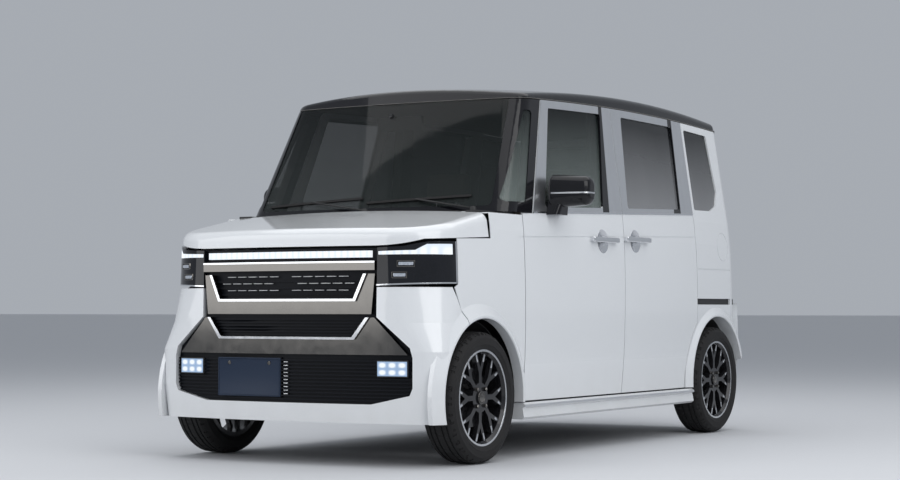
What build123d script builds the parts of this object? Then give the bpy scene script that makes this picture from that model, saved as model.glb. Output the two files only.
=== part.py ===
"""Kei car: a tall four-door box on four wheels, rebuilt from one photograph, in millimetres.

Frame: +X is the car's left, -Y its front, +Z up, origin on the ground under the middle.
"""
import os
from math import asin, atan, cos, degrees, pi, radians, sin, sqrt

from build123d import *

# Overall size and running gear
LENGTH = 3395.0
WIDTH = 1475.0
HEIGHT = 1750.0
FRONT_OVERHANG = 447.5
REAR_OVERHANG = 427.5
TRACK = 1305.0
TYRE_RADIUS = 281.0
TYRE_WIDTH = 165.0
FRONT_Y = -LENGTH / 2
REAR_Y = LENGTH / 2
FRONT_AXLE_Y = FRONT_Y + FRONT_OVERHANG
REAR_AXLE_Y = REAR_Y - REAR_OVERHANG
MIDDLE_Y = (FRONT_AXLE_Y + REAR_AXLE_Y) / 2
WHEEL_X = TRACK / 2
WHEEL_Z = TYRE_RADIUS
FLARE_X = WIDTH / 2

# Walls, joints between panels, and reaches that pass right through the car
WALL = 55.0
CORNER_WALL = 45.0
SKIN = 4.0
GAP = 6.0
FIT = 0.3
FAR_X = FLARE_X + 62.5
INNER_X = 300.0
FAR_FRONT = FRONT_Y - 100.0
FAR_REAR = REAR_Y + 100.0

# Body side: a section of lines and arcs carried round the plan
SIDE_X = FLARE_X - 9.5
SIDE_BOW_RADIUS = 60000.0
WIDEST_Y = MIDDLE_Y + 140.0
FOOT_Z, FOOT_IN = 150.0, 34.0
HEM_Z, HEM_IN = 250.0, 16.0
CREASE_Z, CREASE_IN = 430.0, 4.0
WAIST_Z = 700.0
SHOULDER_Z, SHOULDER_IN = 1000.0, 9.0
BELT_Z, BELT_IN = 1120.0, 21.0
EAVES_TOP_Z, EAVES_TOP_IN = HEIGHT - 50.0, 107.0
LEAN = (EAVES_TOP_IN - BELT_IN) / (EAVES_TOP_Z - BELT_Z)
SIDE_START_Y = FRONT_AXLE_Y - 250.0

# Tail: rounded corners and a slightly bowed back
BUMPER_PROUD = 25.0
TAIL_Y = REAR_Y - BUMPER_PROUD
TAIL_BOW = 20.0
TAIL_CORNER_RADIUS = 168.0

# Nose: a bowed face
NOSE_RADIUS = 3600.0

# Panel joints along the side
DOOR_FRONT_Y = FRONT_AXLE_Y + 388.0
B_JOINT_LOW_Y, B_JOINT_HIGH_Y = MIDDLE_Y + 112.0, MIDDLE_Y + 155.0
C_JOINT_Y = REAR_AXLE_Y - 242.0
HOOD_REAR_Y = FRONT_AXLE_Y + 90.0
REAR_BUMPER_Y = REAR_AXLE_Y + 326.0
ARCH_RADIUS = TYRE_RADIUS + 55.0
DOOR_ARC_RADIUS = ARCH_RADIUS + 59.0

# Glasshouse: a leaning, bowed screen under a crowned roof
EAVES_Y, EAVES_Z, EAVES_RADIUS = MIDDLE_Y + 590.0, HEIGHT - 102.0, 25000.0
SCREEN_RADIUS = 2700.0
SCREEN_BASE_Y, SCREEN_BASE_Z = HOOD_REAR_Y + 82.0, BELT_Z - 20.0
SCREEN_RUN = 287.0
SCREEN_SLOPE = SCREEN_RUN / (EAVES_Z - SCREEN_BASE_Z)
CABIN_BASE_Z, CABIN_TOP_Z = BELT_Z - 60.0, HEIGHT + 10.0
PILLAR_CORNER_RADIUS = 110.0
CABIN_WALL = 45.0
ROOF_PEAK_Y = MIDDLE_Y + 590.0
ROOF_LONG_RADIUS = 12000.0
ROOF_CROSS_RADIUS = 4500.0
ROOF_EDGE_RADIUS = 34.0
ROOF_SWEEP = radians(18.0)
ROOF_DEPTH = 72.0

# Lines along the side that climb a little towards the back
CHARACTER_Z, CHARACTER_RISE = 1003.0, 0.031
SILL_LINE_Z, SILL_LINE_RISE = 1131.0, 0.036
GLASS_DROP = 28.0
FENDER_TOP_Z = BELT_Z - 46.0
SILL_TOP_Z = HEM_Z - 4.0
FRAME_FOOT_Y, FRAME_FOOT_Z = DOOR_FRONT_Y + 96.0, BELT_Z - 34.0
FRAME_HEAD_Y, FRAME_HEAD_Z = DOOR_FRONT_Y + 311.0, EAVES_Z - 26.0

SIDE_CX = SIDE_X - SIDE_BOW_RADIUS
TAIL_CORNER_Y = TAIL_Y - TAIL_BOW - TAIL_CORNER_RADIUS
TAIL_TURN = asin((TAIL_CORNER_Y - WIDEST_Y) / (SIDE_BOW_RADIUS - TAIL_CORNER_RADIUS))
TAIL_CORNER_X = SIDE_CX + (SIDE_BOW_RADIUS - TAIL_CORNER_RADIUS) * cos(TAIL_TURN)
TAIL_TURN_END = pi / 2 - 2 * atan(TAIL_BOW / TAIL_CORNER_X)
TAIL_RADIUS = TAIL_CORNER_RADIUS + TAIL_CORNER_X / cos(TAIL_TURN_END)

os.makedirs("parts", exist_ok=True)


def side_inset(z):
    """How far the skin at height z lies inside the widest line."""
    if z >= BELT_Z:
        return BELT_IN + (z - BELT_Z) * LEAN
    rows = ((FOOT_Z, FOOT_IN), (HEM_Z, HEM_IN), (CREASE_Z, CREASE_IN), (WAIST_Z, 0.0),
            (SHOULDER_Z, SHOULDER_IN), (BELT_Z, BELT_IN))
    for (low, low_in), (high, high_in) in zip(rows, rows[1:]):
        if z <= high:
            return low_in + (high_in - low_in) * (z - low) / (high - low)


def side_at(y, z):
    """Half width of the skin at a place along the side."""
    return SIDE_CX + sqrt((SIDE_BOW_RADIUS - side_inset(z)) ** 2 - (y - WIDEST_Y) ** 2)


def eaves_at(y):
    return EAVES_Z - EAVES_RADIUS + sqrt(EAVES_RADIUS ** 2 - (y - EAVES_Y) ** 2)


def nose_at(x, set_back=0.0):
    """Where the bowed front face lies at a place across the car."""
    return FRONT_Y + set_back + NOSE_RADIUS - sqrt(NOSE_RADIUS ** 2 - x ** 2)


def screen_at(z):
    return SCREEN_BASE_Y + SCREEN_SLOPE * (z - SCREEN_BASE_Z)


def character_at(y):
    return CHARACTER_Z + CHARACTER_RISE * y


def sill_line(y):
    """Foot of the side glass."""
    return SILL_LINE_Z + SILL_LINE_RISE * y


def glass_top(y):
    return eaves_at(y) - GLASS_DROP


def b_joint(z):
    """The gap between the front door and the sliding door leans back as it climbs."""
    return B_JOINT_LOW_Y + (B_JOINT_HIGH_Y - B_JOINT_LOW_Y) * (z - HEM_Z) / (EAVES_Z - HEM_Z)


def turned_wall(centre_x, centre_y, radius, start, end, out, into):
    """The side section between two depths, turned about an upright axis."""
    plane = Plane(origin=(centre_x, centre_y, 0), x_dir=(cos(start), sin(start), 0),
                  z_dir=(sin(start), -cos(start), 0))
    outer, inner = radius - out, radius - into
    with BuildPart() as wall:
        with BuildSketch(plane):
            with BuildLine():
                for r in (outer, inner):
                    Polyline((r - FOOT_IN, FOOT_Z), (r - HEM_IN, HEM_Z), (r - CREASE_IN, CREASE_Z))
                    ThreePointArc((r - CREASE_IN, CREASE_Z), (r, WAIST_Z), (r - SHOULDER_IN, SHOULDER_Z))
                    Polyline((r - SHOULDER_IN, SHOULDER_Z), (r - BELT_IN, BELT_Z),
                             (r - EAVES_TOP_IN, EAVES_TOP_Z))
                Line((outer - FOOT_IN, FOOT_Z), (inner - FOOT_IN, FOOT_Z))
                Line((outer - EAVES_TOP_IN, EAVES_TOP_Z), (inner - EAVES_TOP_IN, EAVES_TOP_Z))
            make_face()
        revolve(axis=Axis((centre_x, centre_y, 0), (0, 0, 1)), revolution_arc=degrees(end - start))
    return wall.part


def side_wall(out, into):
    start = asin((SIDE_START_Y - WIDEST_Y) / SIDE_BOW_RADIUS)
    return turned_wall(SIDE_CX, WIDEST_Y, SIDE_BOW_RADIUS, start, TAIL_TURN, out, into)


def corner_wall(out, into):
    return turned_wall(TAIL_CORNER_X, TAIL_CORNER_Y, TAIL_CORNER_RADIUS, TAIL_TURN, TAIL_TURN_END, out, into)


def tail_wall(out, into):
    return turned_wall(0, TAIL_Y - TAIL_RADIUS, TAIL_RADIUS, TAIL_TURN_END, pi - TAIL_TURN_END, out, into)


def side_prism(points, radius=0.0, inset=0.0, x_from=INNER_X):
    """An outline in the side view, drawn in by inset, as a bar across the left half."""
    with BuildPart() as bar:
        with BuildSketch(Plane.YZ.offset(x_from)) as face:
            with BuildLine():
                Polyline(points, close=True)
            make_face()
            if inset:
                offset(amount=-inset, kind=Kind.INTERSECTION, mode=Mode.REPLACE)
            if radius:
                fillet(face.vertices(), radius)
        extrude(amount=FAR_X - x_from)
    return bar.part


def front_prism(points, y_from, y_to, radius=0.0, inset=0.0):
    """An outline in the front view, drawn in by inset, as a bar along the car."""
    with BuildPart() as bar:
        with BuildSketch(Plane.XZ.offset(-y_to)) as face:
            with BuildLine():
                Polyline(points, close=True)
            make_face()
            if inset:
                offset(amount=-inset, kind=Kind.INTERSECTION, mode=Mode.REPLACE)
            if radius:
                fillet(face.vertices(), radius)
        extrude(amount=y_to - y_from)
    return bar.part


def across(points):
    """An outline in the side view as a bar right across the car."""
    with BuildPart() as bar:
        with BuildSketch(Plane.YZ.offset(-FAR_X)):
            with BuildLine():
                Polyline(points, close=True)
            make_face()
        extrude(amount=2 * FAR_X)
    return bar.part


def mirrored(points):
    """A half outline from bottom to top, with its mirror image."""
    return points + [(-x, z) for x, z in reversed(points)]


def both_sides(solid):
    return solid + mirror(solid, about=Plane.YZ)


def pane_outline(low_front, low_rear, high_rear, high_front):
    """Corners of a side window, on the sill line and under the eaves."""
    return [(low_front, sill_line(low_front)), (low_rear, sill_line(low_rear)),
            (high_rear, glass_top(high_rear)), (high_front, glass_top(high_front))]


def cabin_outline(z, inset):
    """Plan of the glasshouse: screen, sides and back as arcs with rounded corners."""
    side_radius = SIDE_BOW_RADIUS - side_inset(z) - inset
    screen_y = screen_at(z) + inset
    back_y = TAIL_Y - side_inset(z) - inset
    front_x = back_x = SIDE_X - EAVES_TOP_IN
    for _ in range(8):
        front_y = screen_y + SCREEN_RADIUS - sqrt(SCREEN_RADIUS ** 2 - front_x ** 2)
        front_x = SIDE_CX + sqrt(side_radius ** 2 - (front_y - WIDEST_Y) ** 2)
        end_y = back_y - TAIL_RADIUS + sqrt(TAIL_RADIUS ** 2 - back_x ** 2)
        back_x = SIDE_CX + sqrt(side_radius ** 2 - (end_y - WIDEST_Y) ** 2)
    middle_x = SIDE_CX + side_radius
    least_radius = 20.0
    with BuildSketch(Plane.XY.offset(z)) as outline:
        with BuildLine():
            ThreePointArc((-front_x, front_y), (0, screen_y), (front_x, front_y))
            ThreePointArc((front_x, front_y), (middle_x, WIDEST_Y), (back_x, end_y))
            ThreePointArc((back_x, end_y), (0, back_y), (-back_x, end_y))
            ThreePointArc((-back_x, end_y), (-middle_x, WIDEST_Y), (-front_x, front_y))
        make_face()
        fillet(outline.vertices().sort_by(Axis.Y)[:2], PILLAR_CORNER_RADIUS - inset)
        fillet(outline.vertices().sort_by(Axis.Y)[-2:],
               max(TAIL_CORNER_RADIUS - side_inset(z) - inset, least_radius))
    return outline.sketch


def cabin_block(inset):
    """The glasshouse without its roof, for panes and trimming."""
    with BuildPart() as solid:
        add(cabin_outline(CABIN_BASE_Z, inset))
        add(cabin_outline(CABIN_TOP_Z, inset))
        loft(ruled=True)
    return solid.part


def cabin(inset, edge):
    """The glasshouse as one solid, its roof crowned both ways and its eaves rounded."""
    centre = (0, ROOF_PEAK_Y, HEIGHT - ROOF_LONG_RADIUS)
    plane = Plane(origin=centre, x_dir=(1, 0, 0), z_dir=(0, -cos(ROOF_SWEEP), sin(ROOF_SWEEP)))
    top = ROOF_LONG_RADIUS - inset
    foot = top - (HEIGHT - BELT_Z) - WALL * 4
    shoulder = top - ROOF_CROSS_RADIUS + sqrt(ROOF_CROSS_RADIUS ** 2 - FAR_X ** 2)
    with BuildPart() as solid:
        add(cabin_block(inset))
        with BuildSketch(plane):
            with BuildLine():
                ThreePointArc((-FAR_X, shoulder), (0, top), (FAR_X, shoulder))
                Polyline((FAR_X, shoulder), (FAR_X, foot), (-FAR_X, foot), (-FAR_X, shoulder))
            make_face()
        revolve(axis=Axis(centre, (1, 0, 0)), revolution_arc=2 * degrees(ROOF_SWEEP), mode=Mode.INTERSECT)
        fillet(solid.faces().sort_by(Axis.Z)[-1].edges(), edge)
    return solid.part


def above_eaves(lift):
    """Everything above the line where the roof meets the doors."""
    ends = (FRONT_Y, FAR_REAR)
    low = [(y, eaves_at(y) + lift) for y in ends]
    sky = HEIGHT + 200.0
    with BuildPart() as block:
        with BuildSketch(Plane.YZ.offset(-FAR_X)):
            with BuildLine():
                ThreePointArc(low[0], (EAVES_Y, EAVES_Z + lift), low[1])
                Polyline(low[1], (ends[1], sky), (ends[0], sky), low[0])
            make_face()
        extrude(amount=2 * FAR_X)
    return block.part


def wheel_drum(axle_y, radius, x_from=INNER_X, x_to=FAR_X):
    """A plain drum about a wheel's axis on the left."""
    with BuildPart() as drum:
        with BuildSketch(Plane.YZ.offset(x_from)):
            with Locations((axle_y, WHEEL_Z)):
                Circle(radius)
        extrude(amount=x_to - x_from)
    return drum.part


def arch_flare(axle_y, reach):
    """The swelling round a wheel arch, which fades into the side."""
    lip, root = 12.0, 20.0
    edge_x = side_at(axle_y, WHEEL_Z + reach) - SKIN / 2
    lip_x = FLARE_X - SKIN
    plane = Plane(origin=(0, axle_y, WHEEL_Z), x_dir=(1, 0, 0), z_dir=(0, -1, 0))
    with BuildPart() as flare:
        with BuildSketch(plane):
            with BuildLine():
                Polyline((edge_x - root, ARCH_RADIUS), (lip_x, ARCH_RADIUS), (FLARE_X, ARCH_RADIUS + SKIN),
                         (FLARE_X, ARCH_RADIUS + lip), (edge_x, reach), (edge_x - root, reach), close=True)
            make_face()
        revolve(axis=Axis((0, axle_y, WHEEL_Z), (1, 0, 0)))
    return flare.part


def end_outline(z, middle_y, corner, half, back_half, back_y, bow):
    """Plan of a car's end: bowed face, rounded corners, nearly straight sides."""
    toward = 1 if middle_y < 0 else -1
    face_y = middle_y + toward * bow
    with BuildSketch(Plane.XY.offset(z)) as outline:
        with BuildLine():
            ThreePointArc((-half, face_y), (0, middle_y), (half, face_y))
            Polyline((half, face_y), (back_half, back_y), (-back_half, back_y), (-half, face_y))
        make_face()
        fillet(outline.vertices().sort_by(Axis.Y, reverse=middle_y > 0)[:2], corner)
    return outline.sketch


def nose_block(rows, inset, back_y=FRONT_AXLE_Y - 80.0):
    """The front end lofted through rows of height, set back, corner radius and narrowing."""
    corner_y = FRONT_AXLE_Y - 184.0
    with BuildPart() as block:
        for z, set_back, corner, narrow in rows:
            half = side_at(corner_y, z) - narrow - inset
            back_half = side_at(back_y, z) - narrow - inset
            bow = nose_at(half) - FRONT_Y
            add(end_outline(z, FRONT_Y + set_back + inset, corner - inset, half, back_half, back_y, bow))
        loft(ruled=True)
    return block.part


def tail_block(rows, inset):
    """The rear bumper's outside lofted through rows of height, set back and corner radius."""
    back_y = REAR_BUMPER_Y - WALL
    with BuildPart() as block:
        for z, set_back, corner in rows:
            half = side_at(REAR_BUMPER_Y, z) + BUMPER_PROUD / 2 - set_back - inset
            add(end_outline(z, REAR_Y - set_back - inset, corner - inset, half, half, back_y, TAIL_BOW))
        loft(ruled=True)
    return block.part


def nose_band(out, into, low, high, half):
    """A bowed slab behind the front face, between two depths and heights."""
    with BuildPart() as band:
        with BuildSketch(Plane.XY.offset(low)):
            with BuildLine():
                ThreePointArc((-half, nose_at(half, out)), (0, FRONT_Y + out), (half, nose_at(half, out)))
                Line((half, nose_at(half, out)), (half, nose_at(half, into)))
                ThreePointArc((half, nose_at(half, into)), (0, FRONT_Y + into), (-half, nose_at(half, into)))
                Line((-half, nose_at(half, into)), (-half, nose_at(half, out)))
            make_face()
        extrude(amount=high - low)
    return band.part


outer_cabin = cabin(0.0, ROOF_EDGE_RADIUS)
inner_cabin = cabin(CABIN_WALL, ROOF_EDGE_RADIUS / 2)
left_wall = side_wall(0.0, WALL)
PANE_OUT, PANE_IN = 9.0, 13.5
left_pane = side_wall(PANE_OUT, PANE_IN)
left_rebate = side_wall(PANE_OUT - FIT, WALL + SKIN)
pane_shell = cabin_block(4.0) - cabin_block(9.0)
front_arch = both_sides(wheel_drum(FRONT_AXLE_Y, ARCH_RADIUS))
rear_arch = both_sides(wheel_drum(REAR_AXLE_Y, ARCH_RADIUS))
# Grooves pressed into the skin: a line along the doors at the character line
GROOVE_DEPTH, GROOVE_HALF = 2.5, 2.5
groove_skin = side_wall(-SKIN, GROOVE_DEPTH)
groove_ends = (DOOR_FRONT_Y - WALL, REAR_BUMPER_Y)
character_groove = groove_skin & side_prism(
    [(groove_ends[0], character_at(groove_ends[0]) - GROOVE_HALF),
     (groove_ends[1], character_at(groove_ends[1]) - GROOVE_HALF),
     (groove_ends[1], character_at(groove_ends[1]) + GROOVE_HALF),
     (groove_ends[0], character_at(groove_ends[0]) + GROOVE_HALF)])

# Roof: a crowned panel with rounded eaves, and the lugs that the tailgate hangs from
HINGE_CLEARANCE = 0.06
GATE_PIN_Y, GATE_PIN_Z, GATE_PIN_X = REAR_AXLE_Y + 305.0, HEIGHT - 60.0, 380.0
GATE_PIN_RADIUS, GATE_PIN_HALF, GATE_LUG_HALF = 5.0, 22.0, 8.0
GATE_EYE_RADIUS, GATE_EYE_IN = 10.0, 10.0
with BuildPart() as roof_panel:
    add(outer_cabin)
    add(cabin(ROOF_DEPTH, 15.0), mode=Mode.SUBTRACT)
    add(above_eaves(GAP / 2), mode=Mode.INTERSECT)
    for side in (-1, 1):
        with BuildSketch(Plane.YZ.offset(side * GATE_PIN_X)):
            with BuildLine():
                Polyline((GATE_PIN_Y - GATE_EYE_RADIUS, GATE_PIN_Z), (GATE_PIN_Y - 60, GATE_PIN_Z - 40),
                         (GATE_PIN_Y - 20, GATE_PIN_Z - 48), (GATE_PIN_Y + GATE_EYE_RADIUS, GATE_PIN_Z),
                         close=True)
            make_face()
            with Locations((GATE_PIN_Y, GATE_PIN_Z)):
                Circle(GATE_EYE_RADIUS)
        extrude(amount=GATE_LUG_HALF, both=True)
        with Locations(Location((side * GATE_PIN_X, GATE_PIN_Y, GATE_PIN_Z), (0, 90, 0))):
            Cylinder(GATE_PIN_RADIUS, 2 * GATE_PIN_HALF)
roof_panel.part.label = "roof_panel"

# Front pillars: the corners between the screen and the doors
SCREEN_FOOT_HALF, SCREEN_HEAD_HALF = 620.0, 569.0
SCREEN_OUTLINE = [(SCREEN_FOOT_HALF, BELT_Z - 8.0), (SCREEN_HEAD_HALF, EAVES_Z + 2.0)]
QUARTER_OUTLINE = [(FRAME_FOOT_Y - 212.0, BELT_Z + 12.0), (FRAME_FOOT_Y - 52.0, BELT_Z + 12.0),
                   (FRAME_HEAD_Y - 99.0, EAVES_Z - 88.0), (FRAME_HEAD_Y - 161.0, EAVES_Z - 88.0)]
SCREEN_REAR_Y = MIDDLE_Y - 510.0
quarter_bars = both_sides(side_prism(QUARTER_OUTLINE, 14.0))
with BuildPart() as front_pillars:
    add(outer_cabin)
    add(inner_cabin, mode=Mode.SUBTRACT)
    add(across([(FRONT_Y, FRAME_FOOT_Z), (FRAME_FOOT_Y - GAP, FRAME_FOOT_Z),
                (FRAME_HEAD_Y - GAP, FRAME_HEAD_Z), (FRAME_HEAD_Y - GAP, HEIGHT), (FRONT_Y, HEIGHT)]),
        mode=Mode.INTERSECT)
    add(above_eaves(-GAP / 2), mode=Mode.SUBTRACT)
    add(front_prism(mirrored(SCREEN_OUTLINE), FRONT_Y, SCREEN_REAR_Y, 20.0), mode=Mode.SUBTRACT)
    add(quarter_bars, mode=Mode.SUBTRACT)
front_pillars.part.label = "front_pillars"

# Clear glass: the screen and the small panes behind the front pillars
with BuildPart() as windscreen:
    add(pane_shell)
    add(front_prism(mirrored(SCREEN_OUTLINE), FRONT_Y, SCREEN_REAR_Y, 19.0, FIT * 2), mode=Mode.INTERSECT)
    add(above_eaves(0.0), mode=Mode.SUBTRACT)
windscreen.part.label = "windscreen"

with BuildPart() as front_quarter_glass:
    add(pane_shell)
    add(side_prism(QUARTER_OUTLINE, 13.0, FIT * 2), mode=Mode.INTERSECT)
    mirror(about=Plane.YZ)
front_quarter_glass.part.label = "front_quarter_glass"

# Front fenders: thin skins, so that the doors' leading edges swing in behind them
BUMPER_TOP_FRONT_Z = WAIST_Z + 48.0
BUMPER_JOINT = [(FRONT_AXLE_Y - 140.0, HEM_Z), (FRONT_AXLE_Y - 140.0, WAIST_Z - 85.0),
                (FRONT_AXLE_Y - 208.0, BUMPER_TOP_FRONT_Z)]
FENDER_FRONT_Y = FRONT_AXLE_Y - 181.0
FRONT_FLARE_REACH = ARCH_RADIUS + 66.0
LEDGE_X, LEDGE_REAR_Y = 641.0, DOOR_FRONT_Y - 120.0
front_flare = arch_flare(FRONT_AXLE_Y, FRONT_FLARE_REACH)
fender_outline = side_prism(
    [(FENDER_FRONT_Y, character_at(FENDER_FRONT_Y) - GAP),
     (HOOD_REAR_Y + GAP, character_at(HOOD_REAR_Y) - GAP), (HOOD_REAR_Y + GAP, FENDER_TOP_Z),
     (DOOR_FRONT_Y - GAP, FENDER_TOP_Z), (DOOR_FRONT_Y - GAP, HEM_Z)]
    + BUMPER_JOINT + [(FENDER_FRONT_Y, BUMPER_TOP_FRONT_Z + 2 * GAP)])
with BuildPart() as fenders:
    add(side_wall(0.0, SKIN))
    add(front_flare)
    add(fender_outline, mode=Mode.INTERSECT)
    with BuildPart(mode=Mode.PRIVATE) as ledge:
        with Locations((LEDGE_X, HOOD_REAR_Y + GAP, FENDER_TOP_Z)):
            Box(FAR_X - LEDGE_X, LEDGE_REAR_Y - HOOD_REAR_Y - GAP, SKIN,
                align=(Align.MIN, Align.MIN, Align.MAX))
        add(side_wall(SKIN / 2, 2 * WALL), mode=Mode.INTERSECT)
    add(ledge.part)
    add(front_arch, mode=Mode.SUBTRACT)
    add(character_groove, mode=Mode.SUBTRACT)
    mirror(about=Plane.YZ)
fenders.part.label = "fenders"

# Hood: a clamshell whose flanks come down to the character line, on two arms at its back
HOOD_Z, HOOD_SLOPE = BELT_Z - 26.0, radians(11.0)
HOOD_CROWN_RADIUS = 11000.0
HOOD_EDGE_RADIUS = 48.0
HOOD_THICK = 16.0
HOOD_ROWS = ((BELT_Z - 220.0, 14.0, 240.0, 0.0), (BELT_Z + 30.0, 14.0, 240.0, 14.0))
HOOD_LIP_Z = BELT_Z - 199.0
HOOD_LIP_Y, HOOD_CORNER_Y = FRONT_Y + 42.5, FRONT_Y + 117.5
HOOD_PIN_X, HOOD_PIN_Y, HOOD_PIN_Z = 560.0, HOOD_REAR_Y + 25.0, BELT_Z - 48.0
HOOD_PIN_RADIUS, HOOD_EYE_RADIUS, HOOD_ARM_HALF = 5.0, 10.0, 9.0


def hood_block(inset):
    """The hood's outside, its front and side edges rounded."""
    plane = Plane(origin=(0, HOOD_REAR_Y, HOOD_Z), x_dir=(1, 0, 0),
                  z_dir=(0, -cos(HOOD_SLOPE), -sin(HOOD_SLOPE)))
    drop = HOOD_CROWN_RADIUS - sqrt(HOOD_CROWN_RADIUS ** 2 - FAR_X ** 2) + inset
    deep = 500.0
    with BuildPart() as block:
        add(nose_block(HOOD_ROWS, inset, back_y=HOOD_REAR_Y + 60.0))
        with BuildSketch(plane):
            with BuildLine():
                ThreePointArc((-FAR_X, -drop), (0, -inset), (FAR_X, -drop))
                Polyline((FAR_X, -drop), (FAR_X, -deep), (-FAR_X, -deep), (-FAR_X, -drop))
            make_face()
        extrude(amount=FAR_X, both=True, mode=Mode.INTERSECT)
        level = [face for face in block.faces() if abs(face.normal_at().Z) > 0.5]
        top = max(level, key=lambda face: face.center().Z)
        fillet(top.edges().sort_by(Axis.Y)[:-1], HOOD_EDGE_RADIUS - inset)
    return block.part


with BuildPart() as hood:
    add(hood_block(0.0))
    add(hood_block(HOOD_THICK), mode=Mode.SUBTRACT)
    add(across([(FAR_FRONT, HOOD_LIP_Z), (HOOD_LIP_Y, HOOD_LIP_Z), (HOOD_CORNER_Y, HOOD_LIP_Z + 27.0),
                (HOOD_REAR_Y, character_at(HOOD_REAR_Y)), (HOOD_REAR_Y, HEIGHT), (FAR_FRONT, HEIGHT)]),
        mode=Mode.INTERSECT)
    for side in (-1, 1):
        with BuildSketch(Plane.YZ.offset(side * HOOD_PIN_X)):
            with BuildLine():
                Polyline((HOOD_PIN_Y, HOOD_PIN_Z - HOOD_EYE_RADIUS), (HOOD_PIN_Y - 25, HOOD_PIN_Z - 34),
                         (HOOD_PIN_Y - 85, HOOD_PIN_Z - 34), (HOOD_PIN_Y - 85, HOOD_PIN_Z - 12),
                         (HOOD_PIN_Y - 30, HOOD_PIN_Z - 6), (HOOD_PIN_Y, HOOD_PIN_Z + 2), close=True)
            make_face()
            with Locations((HOOD_PIN_Y, HOOD_PIN_Z)):
                Circle(HOOD_EYE_RADIUS)
                Circle(HOOD_PIN_RADIUS + HINGE_CLEARANCE, mode=Mode.SUBTRACT)
        extrude(amount=HOOD_ARM_HALF, both=True)
hood.part.label = "hood"

# Cowl: the black tray between the hood and the screen, with pockets for the hood's pins
COWL_FOOT_Z, COWL_HALF, COWL_POCKET_HALF = BELT_Z - 76.0, 640.0, 17.0
COWL_FRONT_Y, COWL_LAP = HOOD_REAR_Y + 2 * GAP, 25.0
with BuildPart() as cowl:
    with BuildSketch(Plane.XY.offset(COWL_FOOT_Z)):
        with BuildLine():
            foot = screen_at(FRAME_FOOT_Z) + COWL_LAP
            end = foot + SCREEN_RADIUS - sqrt(SCREEN_RADIUS ** 2 - COWL_HALF ** 2)
            ThreePointArc((-COWL_HALF, end), (0, foot), (COWL_HALF, end))
            Polyline((COWL_HALF, end), (COWL_HALF, COWL_FRONT_Y), (-COWL_HALF, COWL_FRONT_Y),
                     (-COWL_HALF, end))
        make_face()
    extrude(amount=FRAME_FOOT_Z - COWL_FOOT_Z)
    for side in (-1, 1):
        with Locations((side * HOOD_PIN_X, COWL_FRONT_Y, FRAME_FOOT_Z)):
            Box(2 * COWL_POCKET_HALF, 80, 3 * WALL, mode=Mode.SUBTRACT)
        with Locations(Location((side * HOOD_PIN_X, HOOD_PIN_Y, HOOD_PIN_Z), (0, 90, 0))):
            Cylinder(HOOD_PIN_RADIUS, 2 * COWL_POCKET_HALF + 4)
cowl.part.label = "cowl"

# Front doors: hung on pins behind the leading edge, which is a thin overhang
HINGE_X, HINGE_Y = SIDE_X - 31.0, DOOR_FRONT_Y + 62.0
HINGE_HEIGHTS = (430.0, 880.0)
PIN_RADIUS, KNUCKLE_RADIUS = 6.0, 9.5
LEAF_HALF, PIN_HALF = 12.0, 34.0
OVERHANG_Y, OVERHANG_SKIN = DOOR_FRONT_Y + 82.0, 7.5
DOOR_FOOT_Z = HEM_Z + 2.0
PANE_LAP, PANE_CORNER, LIGHT_CORNER = 11.0, 22.0, 14.0
CUP_REACH, CUP_DEPTH = 58.0, 15.0
CUP_SPHERE = (CUP_REACH ** 2 + CUP_DEPTH ** 2) / (2 * CUP_DEPTH)
DOOR_GLASS = pane_outline(DOOR_FRONT_Y + 198.0, B_JOINT_LOW_Y - 172.0,
                          B_JOINT_HIGH_Y - 105.0, DOOR_FRONT_Y + 362.0)
DOOR_HANDLE_Y, SLIDER_HANDLE_Y = B_JOINT_LOW_Y - 214.0, B_JOINT_LOW_Y + 148.0


def handle_z(y):
    return character_at(y) - 14.0


def handle_cup(y):
    """The hollow behind a handle, as a ball that dips into the skin."""
    z = handle_z(y)
    with BuildPart() as ball:
        with Locations((side_at(y, z) + CUP_SPHERE - CUP_DEPTH, y, z)):
            Sphere(CUP_SPHERE)
    return ball.part


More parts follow.
